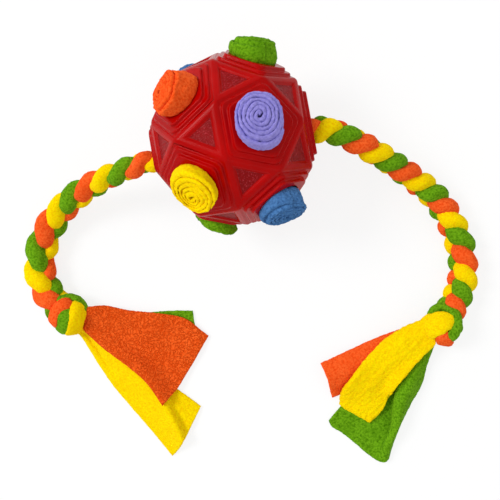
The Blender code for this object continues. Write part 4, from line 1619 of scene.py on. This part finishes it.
@dataclass
class FleeceRoll:
    """A strip of fleece wound into a roll, straight in its hole and plump at its head."""

    wardrobe: Wardrobe
    name: str
    shape: RollShape
    inner_reach: float = 26.0 * MM
    core: float = 0.85 * MM
    outer: float = 11.75 * MM
    half_share: float = 0.49
    step: float = 0.62 * MM
    thin_end: float = 7 * MM
    thin_share: float = 0.25
    tuck_share: float = 0.8
    rim_drop: float = 2.8 * MM
    rim_start: float = 0.66
    wave: float = 0.4 * MM
    wave_turn: float = 1.7
    wave_step: float = 1.3 * MM
    bend: float = 1.3
    below: float = 6 * MM
    row: float = 0.7 * MM
    mouth_depth: float = 1.6 * MM
    mouth_round: float = 2.0 * MM
    loose: float = 0.6 * MM
    crumple: tuple = (5 * MM, 5 * MM, 12 * MM)
    lowest: float = 0.15 * MM

    def section(self) -> tuple[np.ndarray, np.ndarray, np.ndarray]:
        """The spiral's middle line.

        Returns:
            Angles, radii and half thicknesses along the strip.
        """
        pitch = self.shape.pitch
        last = self.outer - pitch * self.half_share
        turns = (last - self.core) / pitch
        length = turns * 2 * pi * (last + self.core) / 2
        count = int(length / self.step)
        share = np.linspace(0, 1, count)
        radius = np.sqrt(self.core ** 2 + share * (last ** 2 - self.core ** 2))
        hand = -1 if HOLES[self.name].y < -1e-6 else 1
        angle = hand * 2 * pi * (self.shape.end_turn - (last - radius) / pitch)
        left = (1 - share) * length
        thin = self.thin_share + (1 - self.thin_share) * smooth(left / self.thin_end)
        half = pitch * self.half_share * thin
        return angle, radius - (pitch * self.half_share - half) * self.tuck_share, half

    def build(self) -> Object:
        """Make the roll.

        Returns:
            The roll.
        """
        shape = self.shape
        angle, radius, half = self.section()
        seed = list(ROLLS).index(self.name)
        top = LAND + shape.head
        ring = self.wave_turn * np.stack([np.cos(angle), np.sin(angle)], axis=1)
        spots = np.column_stack([ring, radius / self.wave_step])
        wave = value_noise(spots + seed, 1.0, 20 + seed)
        share = radius / self.outer
        heights = top - shape.dish * (1 - share ** 2)
        heights -= self.rim_drop * smooth((share - self.rim_start) / (1 - self.rim_start))
        heights += shape.tilt * share * np.cos(angle - radians(shape.tilt_way)) + self.wave * wave
        mouth = LAND - self.mouth_depth
        low = np.array([self.inner_reach, LAND - self.below, mouth, LAND - self.mouth_depth / 2])
        rows = max(7, int(shape.head / self.row))
        climb = np.linspace(0, 1, rows)
        caps = np.linspace(0, pi, 9)
        loops = []
        for turn, middle, height, thick in zip(angle, radius, heights, half):
            levels = np.concatenate([low, LAND + (height - thick - LAND) * climb])
            flank = np.full(len(levels), thick)
            across = np.concatenate([-flank, -thick * np.cos(caps[1:-1]), flank])
            tall = np.array([*levels, *(height - thick + thick * np.sin(caps[1:-1])), *levels[::-1]])
            rise = np.clip((tall - LAND) / shape.head, 0, 1)
            swell = 1 - np.exp(-np.maximum(0.0, tall - mouth) / self.mouth_round)
            spread = 1 + (shape.width - 1) * swell + (shape.rim - shape.width) * rise ** 2
            spread += shape.corners * np.cos(6 * turn) * smooth(rise * 2) * (middle / self.outer)
            wide = (middle + across) * spread
            inward = smooth(rise * 1.5) * (1 - np.clip(wide / (self.outer * spread), 0, 1) ** self.bend)
            shift = rise ** self.bend
            loops.append(np.stack([
                np.cos(turn) * wide + shape.lean[0] * shift + shape.crowd[0] * inward,
                np.sin(turn) * wide + shape.lean[1] * shift + shape.crowd[1] * inward, tall], axis=1))
        loops = np.array(loops)
        flat = loops.reshape(-1, 3)
        loose = smooth((flat[:, 2] - LAND) / shape.head * 1.5) * self.loose
        for axis in (0, 1):
            moved = value_noise(flat, self.crumple, 50 + axis) * loose
            loops[..., axis] += moved.reshape(loops.shape[:2])
        frame = np.array(face_frame(HOLES[self.name]))
        points = settle(close_loops(loops) @ frame.T) + np.array([0.0, 0.0, BALL_HEIGHT])
        points[:, 2] = np.maximum(points[:, 2], self.lowest)
        colour = self.name.split("_")[0]
        faces = loop_faces(len(loops), loops.shape[1])
        piece = add_piece(f"roll_{self.name}_strip", points, faces, self.wardrobe.fleece[colour])
        raise_nap(piece, Nap.TUFTED, 100 + seed)
        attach(piece, f"roll_{self.name}")
        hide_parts(f"roll_{self.name}")
        LOG.info("%s: %d points", piece.name, len(piece.data.vertices))
        return piece


# The whole


def main() -> None:
    """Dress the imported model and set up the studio."""
    logging.basicConfig(level=logging.INFO, format="%(message)s")
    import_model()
    Studio().build()
    wardrobe = Wardrobe()
    plait = Plait(wardrobe)
    plait.build()
    for side, wraps, shift, shapes in (
            ("left", LEFT_WRAPS, (1.3 * MM, 0.6 * MM, 0.0), LEFT_TAILS),
            ("right", RIGHT_WRAPS, (0.0, -2.0 * MM, 0.0), RIGHT_TAILS)):
        pieces = Knot(wardrobe, side, wraps, "green", shift).build()
        pile = Pile(KNOTS[side])
        for shape in shapes:
            Tail(wardrobe, shape, pile, KNOTS[side]).build()
        plait.declare(side, pieces)
    RubberBall(wardrobe).build()
    for name, shape in ROLLS.items():
        FleeceRoll(wardrobe, name, shape).build()
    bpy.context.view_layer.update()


if __name__ == "__main__":
    main()
